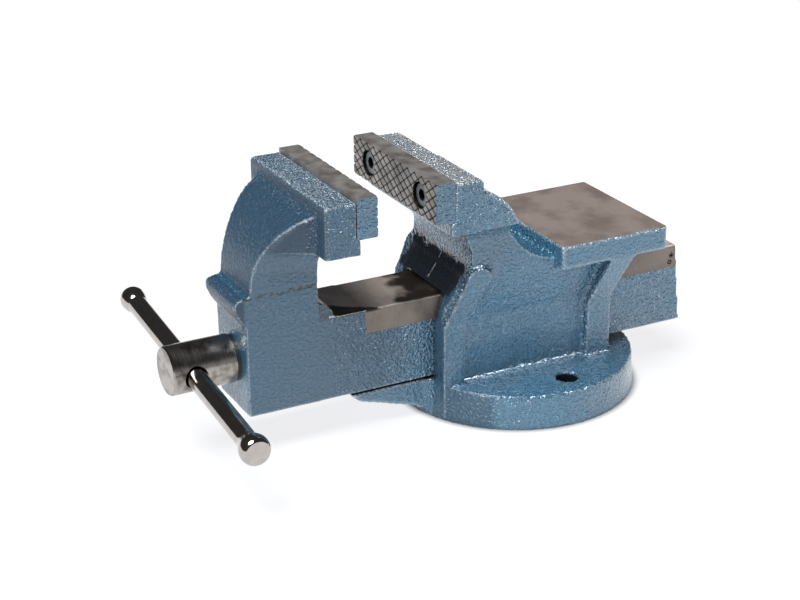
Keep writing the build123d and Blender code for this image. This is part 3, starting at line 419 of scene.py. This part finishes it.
shell, points, links = cast_skin("fixed_jaw_body", "fixed_casting", SKIN_FIXED)
normals = skin_normals(shell, points)
curl = bend(points, normals, links, SKIN_FIXED)
x, y, z = points.T
in_channel = (np.abs(y) < CHANNEL_HALF + 0.9) & (z > CHANNEL_LOW) & (z < CHANNEL_HIGH)
on_anvil = (z > ANVIL_TOP - 0.9) & (x > ANVIL_FRONT - 1)
seat = (x < BLOCK_FRONT + 6) & (z > SEAT_LOW) & (normals[:, 0] < -0.5)
held = in_channel | on_anvil | seat | (z < 0.6)
depth = np.where(held, 0.0, RIPPLE_DEPTH * ripple(points, RIPPLE_WIDTH, 1))
on_block = (z > BLOCK_TOP - 1.5) & (x > BLOCK_FRONT + 2)
depth += np.where(on_block & (y > 0.5), TOP_DRESSED, 0.0)
points = points - normals * depth[:, None]
x, y, z = points.T
z[on_anvil & (z > ANVIL_TOP - 0.55)] = ANVIL_TOP
skin_normals(shell, points)
anvil_rim = near_band(z, ANVIL_TOP - 1.1, ANVIL_TOP, 0.6) * (x > ANVIL_FRONT - 1)
block_rim = near_band(z, BLOCK_TOP - 0.9, BLOCK_TOP + 1, 0.5)
block_rim *= near_band(x, BLOCK_FRONT - 2, BLOCK_FRONT + 1.5, 1.2)
# Painted highlight: the block's top faces are lightened with chips, as worn paint and as the
# glints on them.
worn_and_highlit_top = near_band(z, BLOCK_TOP - 2.0, BLOCK_TOP + 1, 0.4)
worn_and_highlit_top *= (x > BLOCK_FRONT) * (normals[:, 2] > 0.7)
# Painted shade: the throat round the slide, the channel and the bolt holes are darkened through
# grime, as the shade in them.
throat = near_band(z, 24, 95, 5) * near_band(x, -70, -40, 6) * (normals[:, 0] < -0.3)
ragged = 9 * (ripple(points, 8.0, 23) - 0.5)
throat_half = np.where(z > THROAT_SPLIT, THROAT_HALF_HIGH, THROAT_HALF)
throat *= near_band(np.abs(y), -1, throat_half + 0.4 * ragged, 3.5)
throat *= near_band(z + ragged, 20, 92, 6)
parting = near_band(np.abs(y + 2), -1, 0.4, 0.6) * (throat > 0.2) * (ripple(points, 9.0, 21) > 0.4)
hole_x, hole_y, hole_reach = BASE_HOLE
in_hole = (np.hypot(x - hole_x, np.abs(y) - hole_y) < hole_reach) & (z < BASE_TOP - 1)
# Painted shade: the ribs' noses, turned to the front, and the front part of the body take darker,
# duller paint.
rib_front = near_band(z, 0, RIB_FILM_AND_SHADE_TOP, 5) * near_band(x, -90, -47, 3)
rib_front *= (np.abs(y) > CHANNEL_HALF + 3) * near_band(normals[:, 0], -1.1, -0.25, 0.2)
skin = np.where(on_block | (z > ROUGH_ABOVE), 1.1, np.where(normals[:, 0] < -0.6, 1.0, 0.62))
for key, values in (
        ("wear_and_light", 0.9 * parting + 0.62 * anvil_rim + 0.3 * block_rim + 0.78 * worn_and_highlit_top),
        ("grime_and_shade", 0.9 * throat + 0.9 * in_channel + 1.0 * in_hole),
        ("film_and_shade", 0.55 * rib_front + 0.12 * near_band(x, -300, BLOCK_FRONT + 6, 10)),
        ("thin_edge_and_highlight", (curl - 0.05) / 0.16),
        ("corner_pool_and_shade", (-curl - 0.04) / 0.12)):
    set_attribute(shell, key, np.clip(values, 0, 1))
set_attribute(shell, "rough_skin", skin * (1 - 0.97 * throat) * (1 - in_hole))
fixed_casting = new_piece("fixed_casting", shell)
for material in (enamel, ground_iron, planed_iron):
    shell.materials.append(material)
centres, faces_up = face_centres(shell)
cx, cy, cz = centres.T
slots = np.zeros(len(centres), np.int32)
slots[(cz > ANVIL_TOP - 0.7) & (cz < ANVIL_TOP + 1) & (cx > ANVIL_FRONT - 1)
      & (faces_up[:, 2] > 0.6)] = 1
slots[(np.abs(cy) < CHANNEL_HALF + 0.4) & (cz > CHANNEL_LOW + 0.6)
      & (cz < CHANNEL_HIGH - 0.6)] = 2
shell.polygons.foreach_set("material_index", slots)
crisp_corners(shell, 34)
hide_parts("fixed_jaw_body")
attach(fixed_casting, "fixed_body")
glossy_castings.objects.link(fixed_casting)


# ---- Sliding casting: hollow beam, front wall, curved horn and jaw block ------------------
# Cast and sprayed as the fixed body is. The beam's top and the top strips of its sides are
# planed bare to slide in the channel; a ragged mould seam runs round the neck.
SKIN_SLIDING = 1.25
SLIDING_RIPPLE = 0.34
BEAM_HALF = 21.35
BEAM_TOP = 74.2
STRIP_LOW = 59.4             # lower edge of the planed side strips
STRIP_FROM = -108.3          # where they begin
STRIP_DEPTH = 0.45
NECK_BACK = -137.0           # throat side of the neck
SLIDING_SEAT = -128.5        # just behind the sliding plate's seat
HOLLOW_FROM = -165.5         # just ahead of the beam's hollow
FRONT_FACE = -181.0
SCREW_HEIGHT = 52.6
BOSS_RADIUS = 16.5           # flat round the screw on the front wall
HORN_LOW = 80.0              # foot of the cross bar, where the horn's dull paint and painted shade end
SEAM_HEIGHT = 94.6
SEAM_DEPTH = 0.5
FLANK_DEPTH = 0.55           # coarse waves low on the horn's flanks
MILLED_DROP = 0.45           # step left where the planing cutter stopped
NEAR_TOP_DRESSED = 0.45      # ground off the near part of the block's top

shell, points, links = cast_skin("sliding_jaw_body", "sliding_casting", SKIN_SLIDING)
normals = skin_normals(shell, points)
curl = bend(points, normals, links, SKIN_SLIDING)
x, y, z = points.T
beam_zone = (x > NECK_BACK - 2) & (z < BEAM_TOP + 0.8)
strip = beam_zone & (x > STRIP_FROM) & (z > STRIP_LOW) & (np.abs(y) > BEAM_HALF - 1.2)
inside = (x > HOLLOW_FROM) & (np.abs(y) < BEAM_HALF - 3) & (z < BEAM_TOP - 2.5)
top = beam_zone & (z > BEAM_TOP - 0.9) & (x > NECK_BACK + 6)
seat = (x > SLIDING_SEAT) & (z > SEAT_LOW)
front_boss = (x < FRONT_FACE + 1) & (np.hypot(y, z - SCREW_HEIGHT) < BOSS_RADIUS)
held = strip | inside | top | seat | front_boss
depth = np.where(held, 0.0, SLIDING_RIPPLE * ripple(points, RIPPLE_WIDTH, 2))
cutter_x = NECK_BACK + 8.0 + 0.035 * (y - 6.0) ** 2 - 0.22 * y
milled = top & (x > cutter_x)
depth += np.where(milled, MILLED_DROP, 0.0)
on_block = (z > BLOCK_TOP - 1.5) & (x < SLIDING_SEAT + 0.5)
depth += np.where(on_block & (y < -0.5), NEAR_TOP_DRESSED, 0.0)
seam_wave = 0.7 * ripple(points, 6.0, 5)
seam = near_band(z, SEAM_HEIGHT - 0.5 + seam_wave, SEAM_HEIGHT + 0.5 + seam_wave, 0.6)
seam *= (np.abs(y) > BEAM_HALF - 1.5) & (x < NECK_BACK + 1) & (x > FRONT_FACE - 1)
depth += SEAM_DEPTH * seam * ripple(points, 4.0, 7)
flank = near_band(z, 106, 128, 5) * near_band(x, -176, -146, 5) * (np.abs(normals[:, 1]) > 0.5)
depth += FLANK_DEPTH * flank * ripple(points * (0.6, 1.0, 1.5), 3.6, 11)
points = points - normals * depth[:, None]
x, y, z = points.T
flat_top = milled & (z > BEAM_TOP - 1.2)
z[flat_top] = BEAM_TOP - MILLED_DROP
side_flat = strip & (z < BEAM_TOP - 1.4) & (z > STRIP_LOW + 0.4) & (x > STRIP_FROM + 0.6)
y[side_flat] = np.sign(y[side_flat]) * (BEAM_HALF - STRIP_DEPTH)
skin_normals(shell, points)
cut_edge = near_band(x - cutter_x, -1.3, 0.6, 0.7) * top
# Painted highlight: the block's top faces are lightened with chips, as worn paint and as the
# glints on them.
worn_and_highlit_top = on_block * (normals[:, 2] > 0.7)
oil_near = near_band(x - 0.2 * y + 22 * (ripple(points, 13.0, 13) - 0.5), -74, -40, 12)
oil_near = oil_near * np.where(z > BEAM_TOP - 1.0, 1.0, 0.3) * (z > BEAM_TOP - 16)
rough_floor = (x < cutter_x) * (z < BEAM_TOP + 9) * (z > BEAM_TOP - 1.5) * (x > NECK_BACK - 1)
dark_seam = seam * (ripple(points, 3.0, 9) > 0.42)
# Painted shade: the horn's front, turned to the front, and the jaw's front part take darker,
# duller paint.
horn_front = near_band(z, HORN_LOW, BLOCK_TOP + 0.4, 4)
horn_front *= near_band(normals[:, 0], -1.1, -0.35, 0.2)
horn_front = np.maximum(horn_front, near_band(z, HORN_LOW, HORN_LOW + 17, 2) * (x < FRONT_FACE))
side_film_and_shade = 0.45 * near_band(x, -300, -100, 25)
# Painted light: wear on the slide's top lightens it beyond real fresh cut metal, and the block's
# top is lightened as worn paint and as glints.
for key, values in (
        ("wear_and_light", 1.0 * top + 0.2 * cut_edge + 0.6 * worn_and_highlit_top),
        ("grime_and_shade", 0.62 * oil_near + 0.55 * rough_floor + 0.95 * dark_seam),
        ("film_and_shade", np.maximum(0.95 * horn_front, side_film_and_shade)),
        ("thin_edge_and_highlight", (curl - 0.05) / 0.16),
        ("corner_pool_and_shade", (-curl - 0.04) / 0.12)):
    set_attribute(shell, key, np.clip(values, 0, 1))
set_attribute(shell, "rough_skin",
              np.where(on_block | (x > NECK_BACK - 13) & (z > SEAT_LOW), 1.3,
                       np.where(x > STRIP_FROM - 20, 0.9, 0.62)))
sliding_casting = new_piece("sliding_casting", shell)
for material in (enamel, planed_iron):
    shell.materials.append(material)
centres, faces_up = face_centres(shell)
cx, cy, cz = centres.T
slots = np.zeros(len(centres), np.int32)
slots[(cx > NECK_BACK + 0.6) & (cz > BEAM_TOP - 1.0) & (cz < BEAM_TOP + 6.5)
      & (np.abs(cy) < BEAM_HALF - 0.2) & (faces_up[:, 2] > 0.5)] = 1
slots[(cx > STRIP_FROM) & (cz > STRIP_LOW + 0.2) & (np.abs(cy) > BEAM_HALF - 1.4)] = 1
slots[(cx > HOLLOW_FROM + 0.5) & (np.abs(cy) < BEAM_HALF - 4) & (cz < BEAM_TOP - 3)] = 1
shell.polygons.foreach_set("material_index", slots)
crisp_corners(shell, 34)
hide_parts("sliding_jaw_body")
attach(sliding_casting, "sliding_jaw")
glossy_castings.objects.link(sliding_casting)


# ---- Jaw plates ---------------------------------------------------------------------------
# Two bars of hardened steel, milled with crossed V grooves for grip, drilled and counterbored
# for two screws each, then bolted in before the enamel is sprayed, so their ends are blue.
PLATE = {"Width": 100.0, "Height": 22.8, "Thickness": 12.35, "Cells Across": 12,
         "Cells Up": 4, "Groove Depth": 0.75, "Groove Half Width": 0.16, "Light Cut": 0.6,
         "Bore Radius": 7.5, "Bore Depth": 9.6, "Shank Radius": 4.1, "Screw Spacing": 62.0}
CELL_STEPS = 14              # points along one diamond, so that grooves run through points
WHOLE_CELLS = 200.0          # added to a groove's phase to keep it above zero
DRILL_LENGTH = 20.0
PLATE_MID_Z = 140.1
PAINTED_END = 0.3            # faces this near a plate's end are sprayed with the castings
FRONT_SHARE = 0.499          # of the thickness, past which a point lies on the gripping face


def geometry_tree(name, inputs):
    """A Geometry Nodes tree with named number inputs and one mesh output."""
    tree = bpy.data.node_groups.new(name, "GeometryNodeTree")
    for key, value in inputs.items():
        kind = "NodeSocketInt" if isinstance(value, int) else "NodeSocketFloat"
        tree.interface.new_socket(key, in_out="INPUT", socket_type=kind)
    tree.interface.new_socket("Mesh", in_out="OUTPUT", socket_type="NodeSocketGeometry")
    return tree, tree.nodes.new("NodeGroupInput").outputs, tree.nodes.new("NodeGroupOutput")


def close_tree(tree, result, output, material):
    """Ends a tree in Realize Instances and Set Material."""
    real = add(tree, "GeometryNodeRealizeInstances", Geometry=result)
    finish = add(tree, "GeometryNodeSetMaterial", Geometry=real.outputs[0], Material=material)
    tree.links.new(finish.outputs[0], output.inputs[0])


def grow(name, tree, inputs):
    """Runs a tree on an empty mesh with its inputs set, and returns the plain mesh."""
    holder = new_piece(name + "_plan", bpy.data.meshes.new(name + "_plan"))
    nodes = holder.modifiers.new("plan", "NODES")
    nodes.node_group = tree
    for item in tree.interface.items_tree:
        if item.in_out == "INPUT" and item.name in inputs:
            nodes[item.identifier] = inputs[item.name]
    mesh = bpy.data.meshes.new_from_object(
        holder.evaluated_get(bpy.context.evaluated_depsgraph_get()))
    bpy.data.objects.remove(holder)
    mesh.name = name
    return mesh


# Hardened tool steel, milled: a dull grey with faint warm stains on the flats and a fine lay
# across them. The grooves are drawn black, and so are the bores, as painted shade.
plate_steel, tree, shader = new_material("hardened_milled_steel")
place = add(tree, "ShaderNodeTexCoord").outputs["Object"]
blotch = add(tree, "ShaderNodeTexNoise", {}, Vector=place, Scale=1.0 / (9 * MM), Detail=4.0)
brushed = add(tree, "ShaderNodeMapping", Vector=place, Scale=(1.0, 0.06, 1.0))
lay = add(tree, "ShaderNodeTexNoise", {}, Vector=brushed.outputs[0], Scale=1.0 / (0.7 * MM),
          Detail=2.0)
patches = add(tree, "ShaderNodeMapRange", Value=blotch.outputs["Fac"], From_Min=0.36,
              From_Max=0.64)
steel = add(tree, "ShaderNodeMix", {"data_type": "RGBA"}, i0=patches.outputs[0],
            i6=linear("#A6A3A0"), i7=linear("#7A746F"))
groove_dark = add(tree, "ShaderNodeAttribute", {"attribute_name": "groove"})
groove_dark_line = add(tree, "ShaderNodeMapRange", {"interpolation_type": "SMOOTHSTEP"},
                Value=groove_dark.outputs["Fac"], From_Min=0.05, From_Max=0.6)
groove_darkened = add(tree, "ShaderNodeMix", {"data_type": "RGBA"}, i0=groove_dark_line.outputs[0],
            i6=steel.outputs[2], i7=linear("#0E0F10"))
tree.links.new(groove_darkened.outputs[2], shader.inputs["Base Color"])
shader.inputs["Metallic"].default_value = 0.55
dull = add(tree, "ShaderNodeMapRange", Value=lay.outputs["Fac"], To_Min=0.34, To_Max=0.52)
tree.links.new(dull.outputs[0], shader.inputs["Roughness"])
milled_lay = add(tree, "ShaderNodeBump", Height=lay.outputs["Fac"], Strength=0.3,
                 Distance=0.05 * MM)
tree.links.new(milled_lay.outputs[0], shader.inputs["Normal"])

# The tree cuts a block of points into a bar, sinks its front along two families of slanted
# grooves, one deeper than the other, and bores both screw holes through it.
tree, given, result = geometry_tree("cross_cut_plate", PLATE)
across = add(tree, "ShaderNodeMath", {"operation": "MULTIPLY_ADD"}, i0=given["Cells Across"],
             i1=float(CELL_STEPS), i2=1.0)
up = add(tree, "ShaderNodeMath", {"operation": "MULTIPLY_ADD"}, i0=given["Cells Up"],
         i1=float(CELL_STEPS), i2=1.0)
size = add(tree, "ShaderNodeCombineXYZ", X=given["Thickness"], Y=given["Width"],
           Z=given["Height"])
bar = add(tree, "GeometryNodeMeshCube", Size=size.outputs[0], Vertices_X=14,
          Vertices_Y=across.outputs[0], Vertices_Z=up.outputs[0])
spot = add(tree, "GeometryNodeInputPosition").outputs[0]
spot_axes = add(tree, "ShaderNodeSeparateXYZ", Vector=spot)
over = []
for axis, length, cells in (("Y", "Width", "Cells Across"), ("Z", "Height", "Cells Up")):
    cell = add(tree, "ShaderNodeMath", {"operation": "DIVIDE"}, i0=given[length], i1=given[cells])
    over.append(add(tree, "ShaderNodeMath", {"operation": "DIVIDE"}, i0=spot_axes.outputs[axis],
                    i1=cell.outputs[0]).outputs[0])
families = []
for lean in ("ADD", "SUBTRACT"):
    phase = add(tree, "ShaderNodeMath", {"operation": lean}, i0=over[0], i1=over[1])
    raised = add(tree, "ShaderNodeMath", {"operation": "ADD"}, i0=phase.outputs[0],
                 i1=WHOLE_CELLS)
    to_line = add(tree, "ShaderNodeMath", {"operation": "PINGPONG"}, i0=raised.outputs[0], i1=0.5)
    share = add(tree, "ShaderNodeMath", {"operation": "DIVIDE"}, i0=to_line.outputs[0],
                i1=given["Groove Half Width"])
    near = add(tree, "ShaderNodeMath", {"operation": "SUBTRACT"}, i0=1.0, i1=share.outputs[0])
    families.append(add(tree, "ShaderNodeMath", {"operation": "MAXIMUM"}, i0=near.outputs[0],
                        i1=0.0).outputs[0])
light = add(tree, "ShaderNodeMath", {"operation": "MULTIPLY"}, i0=families[1],
            i1=given["Light Cut"])
groove = add(tree, "ShaderNodeMath", {"operation": "MAXIMUM"}, i0=families[0],
             i1=light.outputs[0]).outputs[0]
near_front = add(tree, "ShaderNodeMath", {"operation": "MULTIPLY"}, i0=given["Thickness"],
                 i1=FRONT_SHARE)
front = add(tree, "FunctionNodeCompare", {"data_type": "FLOAT", "operation": "GREATER_THAN"},
            i0=spot_axes.outputs["X"], i1=near_front.outputs[0])
depth = add(tree, "ShaderNodeMath", {"operation": "MULTIPLY"}, i0=groove,
            i1=given["Groove Depth"])
sunk = add(tree, "ShaderNodeMath", {"operation": "MULTIPLY"}, i0=depth.outputs[0], i1=-1.0)
sink = add(tree, "ShaderNodeCombineXYZ", X=sunk.outputs[0])
marked = add(tree, "GeometryNodeStoreNamedAttribute", {"data_type": "FLOAT", "domain": "POINT"},
             Geometry=bar.outputs["Mesh"], Selection=front.outputs[0], Name="groove", Value=groove)
cut = add(tree, "GeometryNodeSetPosition", Geometry=marked.outputs[0],
          Selection=front.outputs[0], Offset=sink.outputs[0])
face_x = add(tree, "ShaderNodeMath", {"operation": "MULTIPLY"}, i0=given["Thickness"], i1=0.5)
past_face = add(tree, "ShaderNodeMath", {"operation": "SUBTRACT"}, i0=given["Bore Depth"],
                i1=DRILL_LENGTH / 2)
bore_x = add(tree, "ShaderNodeMath", {"operation": "SUBTRACT"}, i0=face_x.outputs[0],
             i1=past_face.outputs[0]).outputs[0]
for side in (-0.5, 0.5):
    y_place = add(tree, "ShaderNodeMath", {"operation": "MULTIPLY"}, i0=given["Screw Spacing"],
                  i1=side)
    for radius, x_place in ((given["Bore Radius"], bore_x), (given["Shank Radius"], 0.0)):
        drill_at = add(tree, "ShaderNodeCombineXYZ", X=x_place, Y=y_place.outputs[0])
        drill = add(tree, "GeometryNodeMeshCylinder", Vertices=64, Radius=radius,
                    Depth=DRILL_LENGTH)
        turned = add(tree, "GeometryNodeTransform", Geometry=drill.outputs["Mesh"],
                     Translation=drill_at.outputs[0], Rotation=(0.0, math.pi / 2, 0.0))
        cut = add(tree, "GeometryNodeMeshBoolean", {"operation": "DIFFERENCE", "solver": "EXACT"},
                  Mesh_1=cut.outputs[0], Mesh_2=turned.outputs[0])
close_tree(tree, cut.outputs[0], result, plate_steel)

for name, node, body, turn in (("fixed_plate_cross_cut", "fixed_jaw_plate", "fixed_body", -1),
                               ("sliding_plate_cross_cut", "sliding_jaw_plate", "sliding_jaw", 1)):
    mesh = grow(name, tree, PLATE)
    low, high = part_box(node)
    middle = (low + high) / 2
    place = Matrix.Translation(middle) @ Matrix.Diagonal((MM, MM, MM, 1.0))
    if turn < 0:
        place = place @ Matrix.Rotation(math.pi, 4, "Z")
    mesh.transform(place)
    shaper = bmesh.new()
    shaper.from_mesh(mesh)
    bmesh.ops.remove_doubles(shaper, verts=shaper.verts, dist=0.01 * MM)
    bmesh.ops.recalc_face_normals(shaper, faces=shaper.faces)
    shaper.to_mesh(mesh)
    shaper.free()
    plate = new_piece(name, mesh)
    mesh.materials.append(enamel)
    for face in mesh.polygons:
        if abs(face.normal.y) > 0.9 and abs(face.center.y) > high.y - PAINTED_END * MM:
            face.material_index = len(mesh.materials) - 1
    # Painted shade: the points in each counterbore are marked as groove, so the bores come out
    # black.
    groove_at = mesh.attributes["groove"].data
    for vertex in mesh.vertices:
        off = math.hypot(abs(vertex.co.y) / MM - PLATE["Screw Spacing"] / 2,
                         vertex.co.z / MM - PLATE_MID_Z)
        if off < PLATE["Bore Radius"] + 0.05:
            groove_at[vertex.index].value = 1.0
    set_attribute(mesh, "rough_skin", np.ones(len(mesh.vertices)))
    for key in ("wear_and_light", "film_and_shade", "grime_and_shade", "thin_edge_and_highlight", "corner_pool_and_shade"):
        set_attribute(mesh, key, np.zeros(len(mesh.vertices)))
    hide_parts(node)
    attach(plate, body)


# ---- Plate screws ---------------------------------------------------------------------------
# Four M8 socket head cap screws, cold headed and blacked in a hot oxide bath, two in each
# plate's counterbores. They pull the plates into their seats.
SOCKET_REACH = 3.3           # radius of the painted shade in the socket

# Black oxide, rubbed: a mid grey sheen on the heads with a soft bloom, and the hexagon sockets
# drawn near black as painted shade.
black_oxide, tree, shader = new_material("black_oxide_steel")
place = add(tree, "ShaderNodeTexCoord").outputs["Object"]
bloom = add(tree, "ShaderNodeTexNoise", {}, Vector=place, Scale=1.0 / (1.5 * MM), Detail=3.0)
black = add(tree, "ShaderNodeMix", {"data_type": "RGBA"}, i0=bloom.outputs["Fac"],
            i6=linear("#5C6266"), i7=linear("#83888B"))
spot_axes = add(tree, "ShaderNodeSeparateXYZ", Vector=place)
beside = add(tree, "ShaderNodeMath", {"operation": "ABSOLUTE"}, i0=spot_axes.outputs["Y"])
off_y = add(tree, "ShaderNodeMath", {"operation": "SUBTRACT"}, i0=beside.outputs[0],
            i1=PLATE["Screw Spacing"] / 2 * MM)
off_z = add(tree, "ShaderNodeMath", {"operation": "SUBTRACT"}, i0=spot_axes.outputs["Z"],
            i1=PLATE_MID_Z * MM)
from_screw = add(tree, "ShaderNodeCombineXYZ", X=off_y.outputs[0], Y=off_z.outputs[0])
reach = add(tree, "ShaderNodeVectorMath", {"operation": "LENGTH"}, i0=from_screw.outputs[0])
in_socket = add(tree, "ShaderNodeMapRange", Value=reach.outputs["Value"],
                From_Min=SOCKET_REACH * MM, From_Max=(SOCKET_REACH + 0.5) * MM)
# Painted shade: the hexagon sockets are drawn near black.
socket_shade = add(tree, "ShaderNodeMix", {"data_type": "RGBA"}, i0=in_socket.outputs[0],
                  i6=linear("#0B0C0D"), i7=black.outputs[2])
tree.links.new(socket_shade.outputs[2], shader.inputs["Base Color"])
shader.inputs["Metallic"].default_value = 0.6
shader.inputs["Roughness"].default_value = 0.38
for node in ("fixed_plate_screws", "sliding_plate_screws"):
    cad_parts[node].data.materials.clear()
    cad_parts[node].data.materials.append(black_oxide)


# ---- Lead screw, washers, spring, split pin and nut ---------------------------------------
# The screw is turned from bar: a bright polished head with a cross hole for the handle, a
# plain shank and an oily thread. The small washers, the split pin and the bolt are zinc plated;
# the thrust washer, the spring and the stop pins are spring steel; the nut is cast.
# Polished turned steel: bright with fine rings round the axis, small pits and brown stains.
bright_steel, tree, shader = new_material("polished_turned_steel")
place = add(tree, "ShaderNodeTexCoord").outputs["Object"]
stains = add(tree, "ShaderNodeTexNoise", {}, Vector=place, Scale=1.0 / (7 * MM), Detail=4.0)
pits = add(tree, "ShaderNodeTexNoise", {}, Vector=place, Scale=1.0 / (0.9 * MM), Detail=2.0)
turned = add(tree, "ShaderNodeMapping", Vector=place, Scale=(1.0, 0.03, 0.03))
rings = add(tree, "ShaderNodeTexNoise", {}, Vector=turned.outputs[0], Scale=1.0 / (0.5 * MM),
            Detail=2.0)
stained = add(tree, "ShaderNodeMapRange", Value=stains.outputs["Fac"], From_Min=0.45,
              From_Max=0.65)
nickel = add(tree, "ShaderNodeMix", {"data_type": "RGBA"}, i0=stained.outputs[0],
             i6=linear("#A9A5A0"), i7=linear("#756A5F"))
tree.links.new(nickel.outputs[2], shader.inputs["Base Color"])
shader.inputs["Metallic"].default_value = 1.0
shine = add(tree, "ShaderNodeMapRange", Value=rings.outputs["Fac"], To_Min=0.12, To_Max=0.34)
tree.links.new(shine.outputs[0], shader.inputs["Roughness"])
ringed = add(tree, "ShaderNodeBump", Height=rings.outputs["Fac"], Strength=0.15,
             Distance=0.02 * MM)
pitted = add(tree, "ShaderNodeBump", Height=pits.outputs["Fac"], Strength=0.2,
             Distance=0.05 * MM, Normal=ringed.outputs[0])
tree.links.new(pitted.outputs[0], shader.inputs["Normal"])

# Zinc plate on steel: pale grey with a faint cloudy spangle and a soft shine.
zinc, tree, shader = new_material("zinc_plated_steel")
place = add(tree, "ShaderNodeTexCoord").outputs["Object"]
spangle = add(tree, "ShaderNodeTexNoise", {}, Vector=place, Scale=1.0 / (2.5 * MM), Detail=2.0)
plated = add(tree, "ShaderNodeMix", {"data_type": "RGBA"}, i0=spangle.outputs["Fac"],
             i6=linear("#A9AAA4"), i7=linear("#C7C6BC"))
tree.links.new(plated.outputs[2], shader.inputs["Base Color"])
shader.inputs["Metallic"].default_value = 1.0
shader.inputs["Roughness"].default_value = 0.36

# Oiled spring steel: near black with a wet sheen and scale left from its hardening.
oiled_wire, tree, shader = new_material("oiled_spring_steel")
place = add(tree, "ShaderNodeTexCoord").outputs["Object"]
scale_marks = add(tree, "ShaderNodeTexNoise", {}, Vector=place, Scale=1.0 / (1.2 * MM), Detail=2.0)
wire_shade = add(tree, "ShaderNodeMix", {"data_type": "RGBA"}, i0=scale_marks.outputs["Fac"],
                 i6=linear("#3E3D3D"), i7=linear("#6B6866"))
tree.links.new(wire_shade.outputs[2], shader.inputs["Base Color"])
shader.inputs["Metallic"].default_value = 0.9
shader.inputs["Roughness"].default_value = 0.33

# Bare cast iron: dull grey brown, with the grain of the sand it was cast in.
nut_iron, tree, shader = new_material("bare_cast_iron")
place = add(tree, "ShaderNodeTexCoord").outputs["Object"]
sand = add(tree, "ShaderNodeTexNoise", {}, Vector=place, Scale=1.0 / (1.4 * MM), Detail=4.0)
rust = add(tree, "ShaderNodeMix", {"data_type": "RGBA"}, i0=sand.outputs["Fac"],
           i6=linear("#4B4744"), i7=linear("#6E655D"))
tree.links.new(rust.outputs[2], shader.inputs["Base Color"])
shader.inputs["Metallic"].default_value = 0.5
shader.inputs["Roughness"].default_value = 0.6
sandy = add(tree, "ShaderNodeBump", Height=sand.outputs["Fac"], Strength=0.6, Distance=0.2 * MM)
tree.links.new(sandy.outputs[0], shader.inputs["Normal"])

for node, material in (("lead_screw", bright_steel), ("thrust_washer", oiled_wire),
                       ("spring_front_washer", zinc), ("spring_rear_washer", zinc),
                       ("split_pin", zinc), ("spindle_spring", oiled_wire),
                       ("slide_stop_pins", oiled_wire), ("spindle_nut", nut_iron),
                       ("nut_bolt", zinc), ("nut_lock_washer", zinc),
                       ("nut_flat_washer", zinc)):
    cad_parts[node].data.materials.clear()
    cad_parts[node].data.materials.append(material)


# ---- Handle bar and its knobs -------------------------------------------------------------
# A round bar, nickel plated and polished, with a knob pressed on each end to keep it in the
# screw's head. It slides and drops to either side.
# Polished nickel plate: a warm mirror with faint smears from hands.
plated_bar, tree, shader = new_material("polished_nickel_plate")
place = add(tree, "ShaderNodeTexCoord").outputs["Object"]
smears = add(tree, "ShaderNodeTexNoise", {}, Vector=place, Scale=1.0 / (6 * MM), Detail=3.0)
nickel = add(tree, "ShaderNodeMix", {"data_type": "RGBA"}, i0=smears.outputs["Fac"],
             i6=linear("#A79F98"), i7=linear("#C8C4BF"))
tree.links.new(nickel.outputs[2], shader.inputs["Base Color"])
shader.inputs["Metallic"].default_value = 1.0
smeared = add(tree, "ShaderNodeMapRange", Value=smears.outputs["Fac"], To_Min=0.06, To_Max=0.16)
tree.links.new(smeared.outputs[0], shader.inputs["Roughness"])
for node in ("handle_bar", "handle_knob_near", "handle_knob_far"):
    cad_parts[node].data.materials.clear()
    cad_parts[node].data.materials.append(plated_bar)
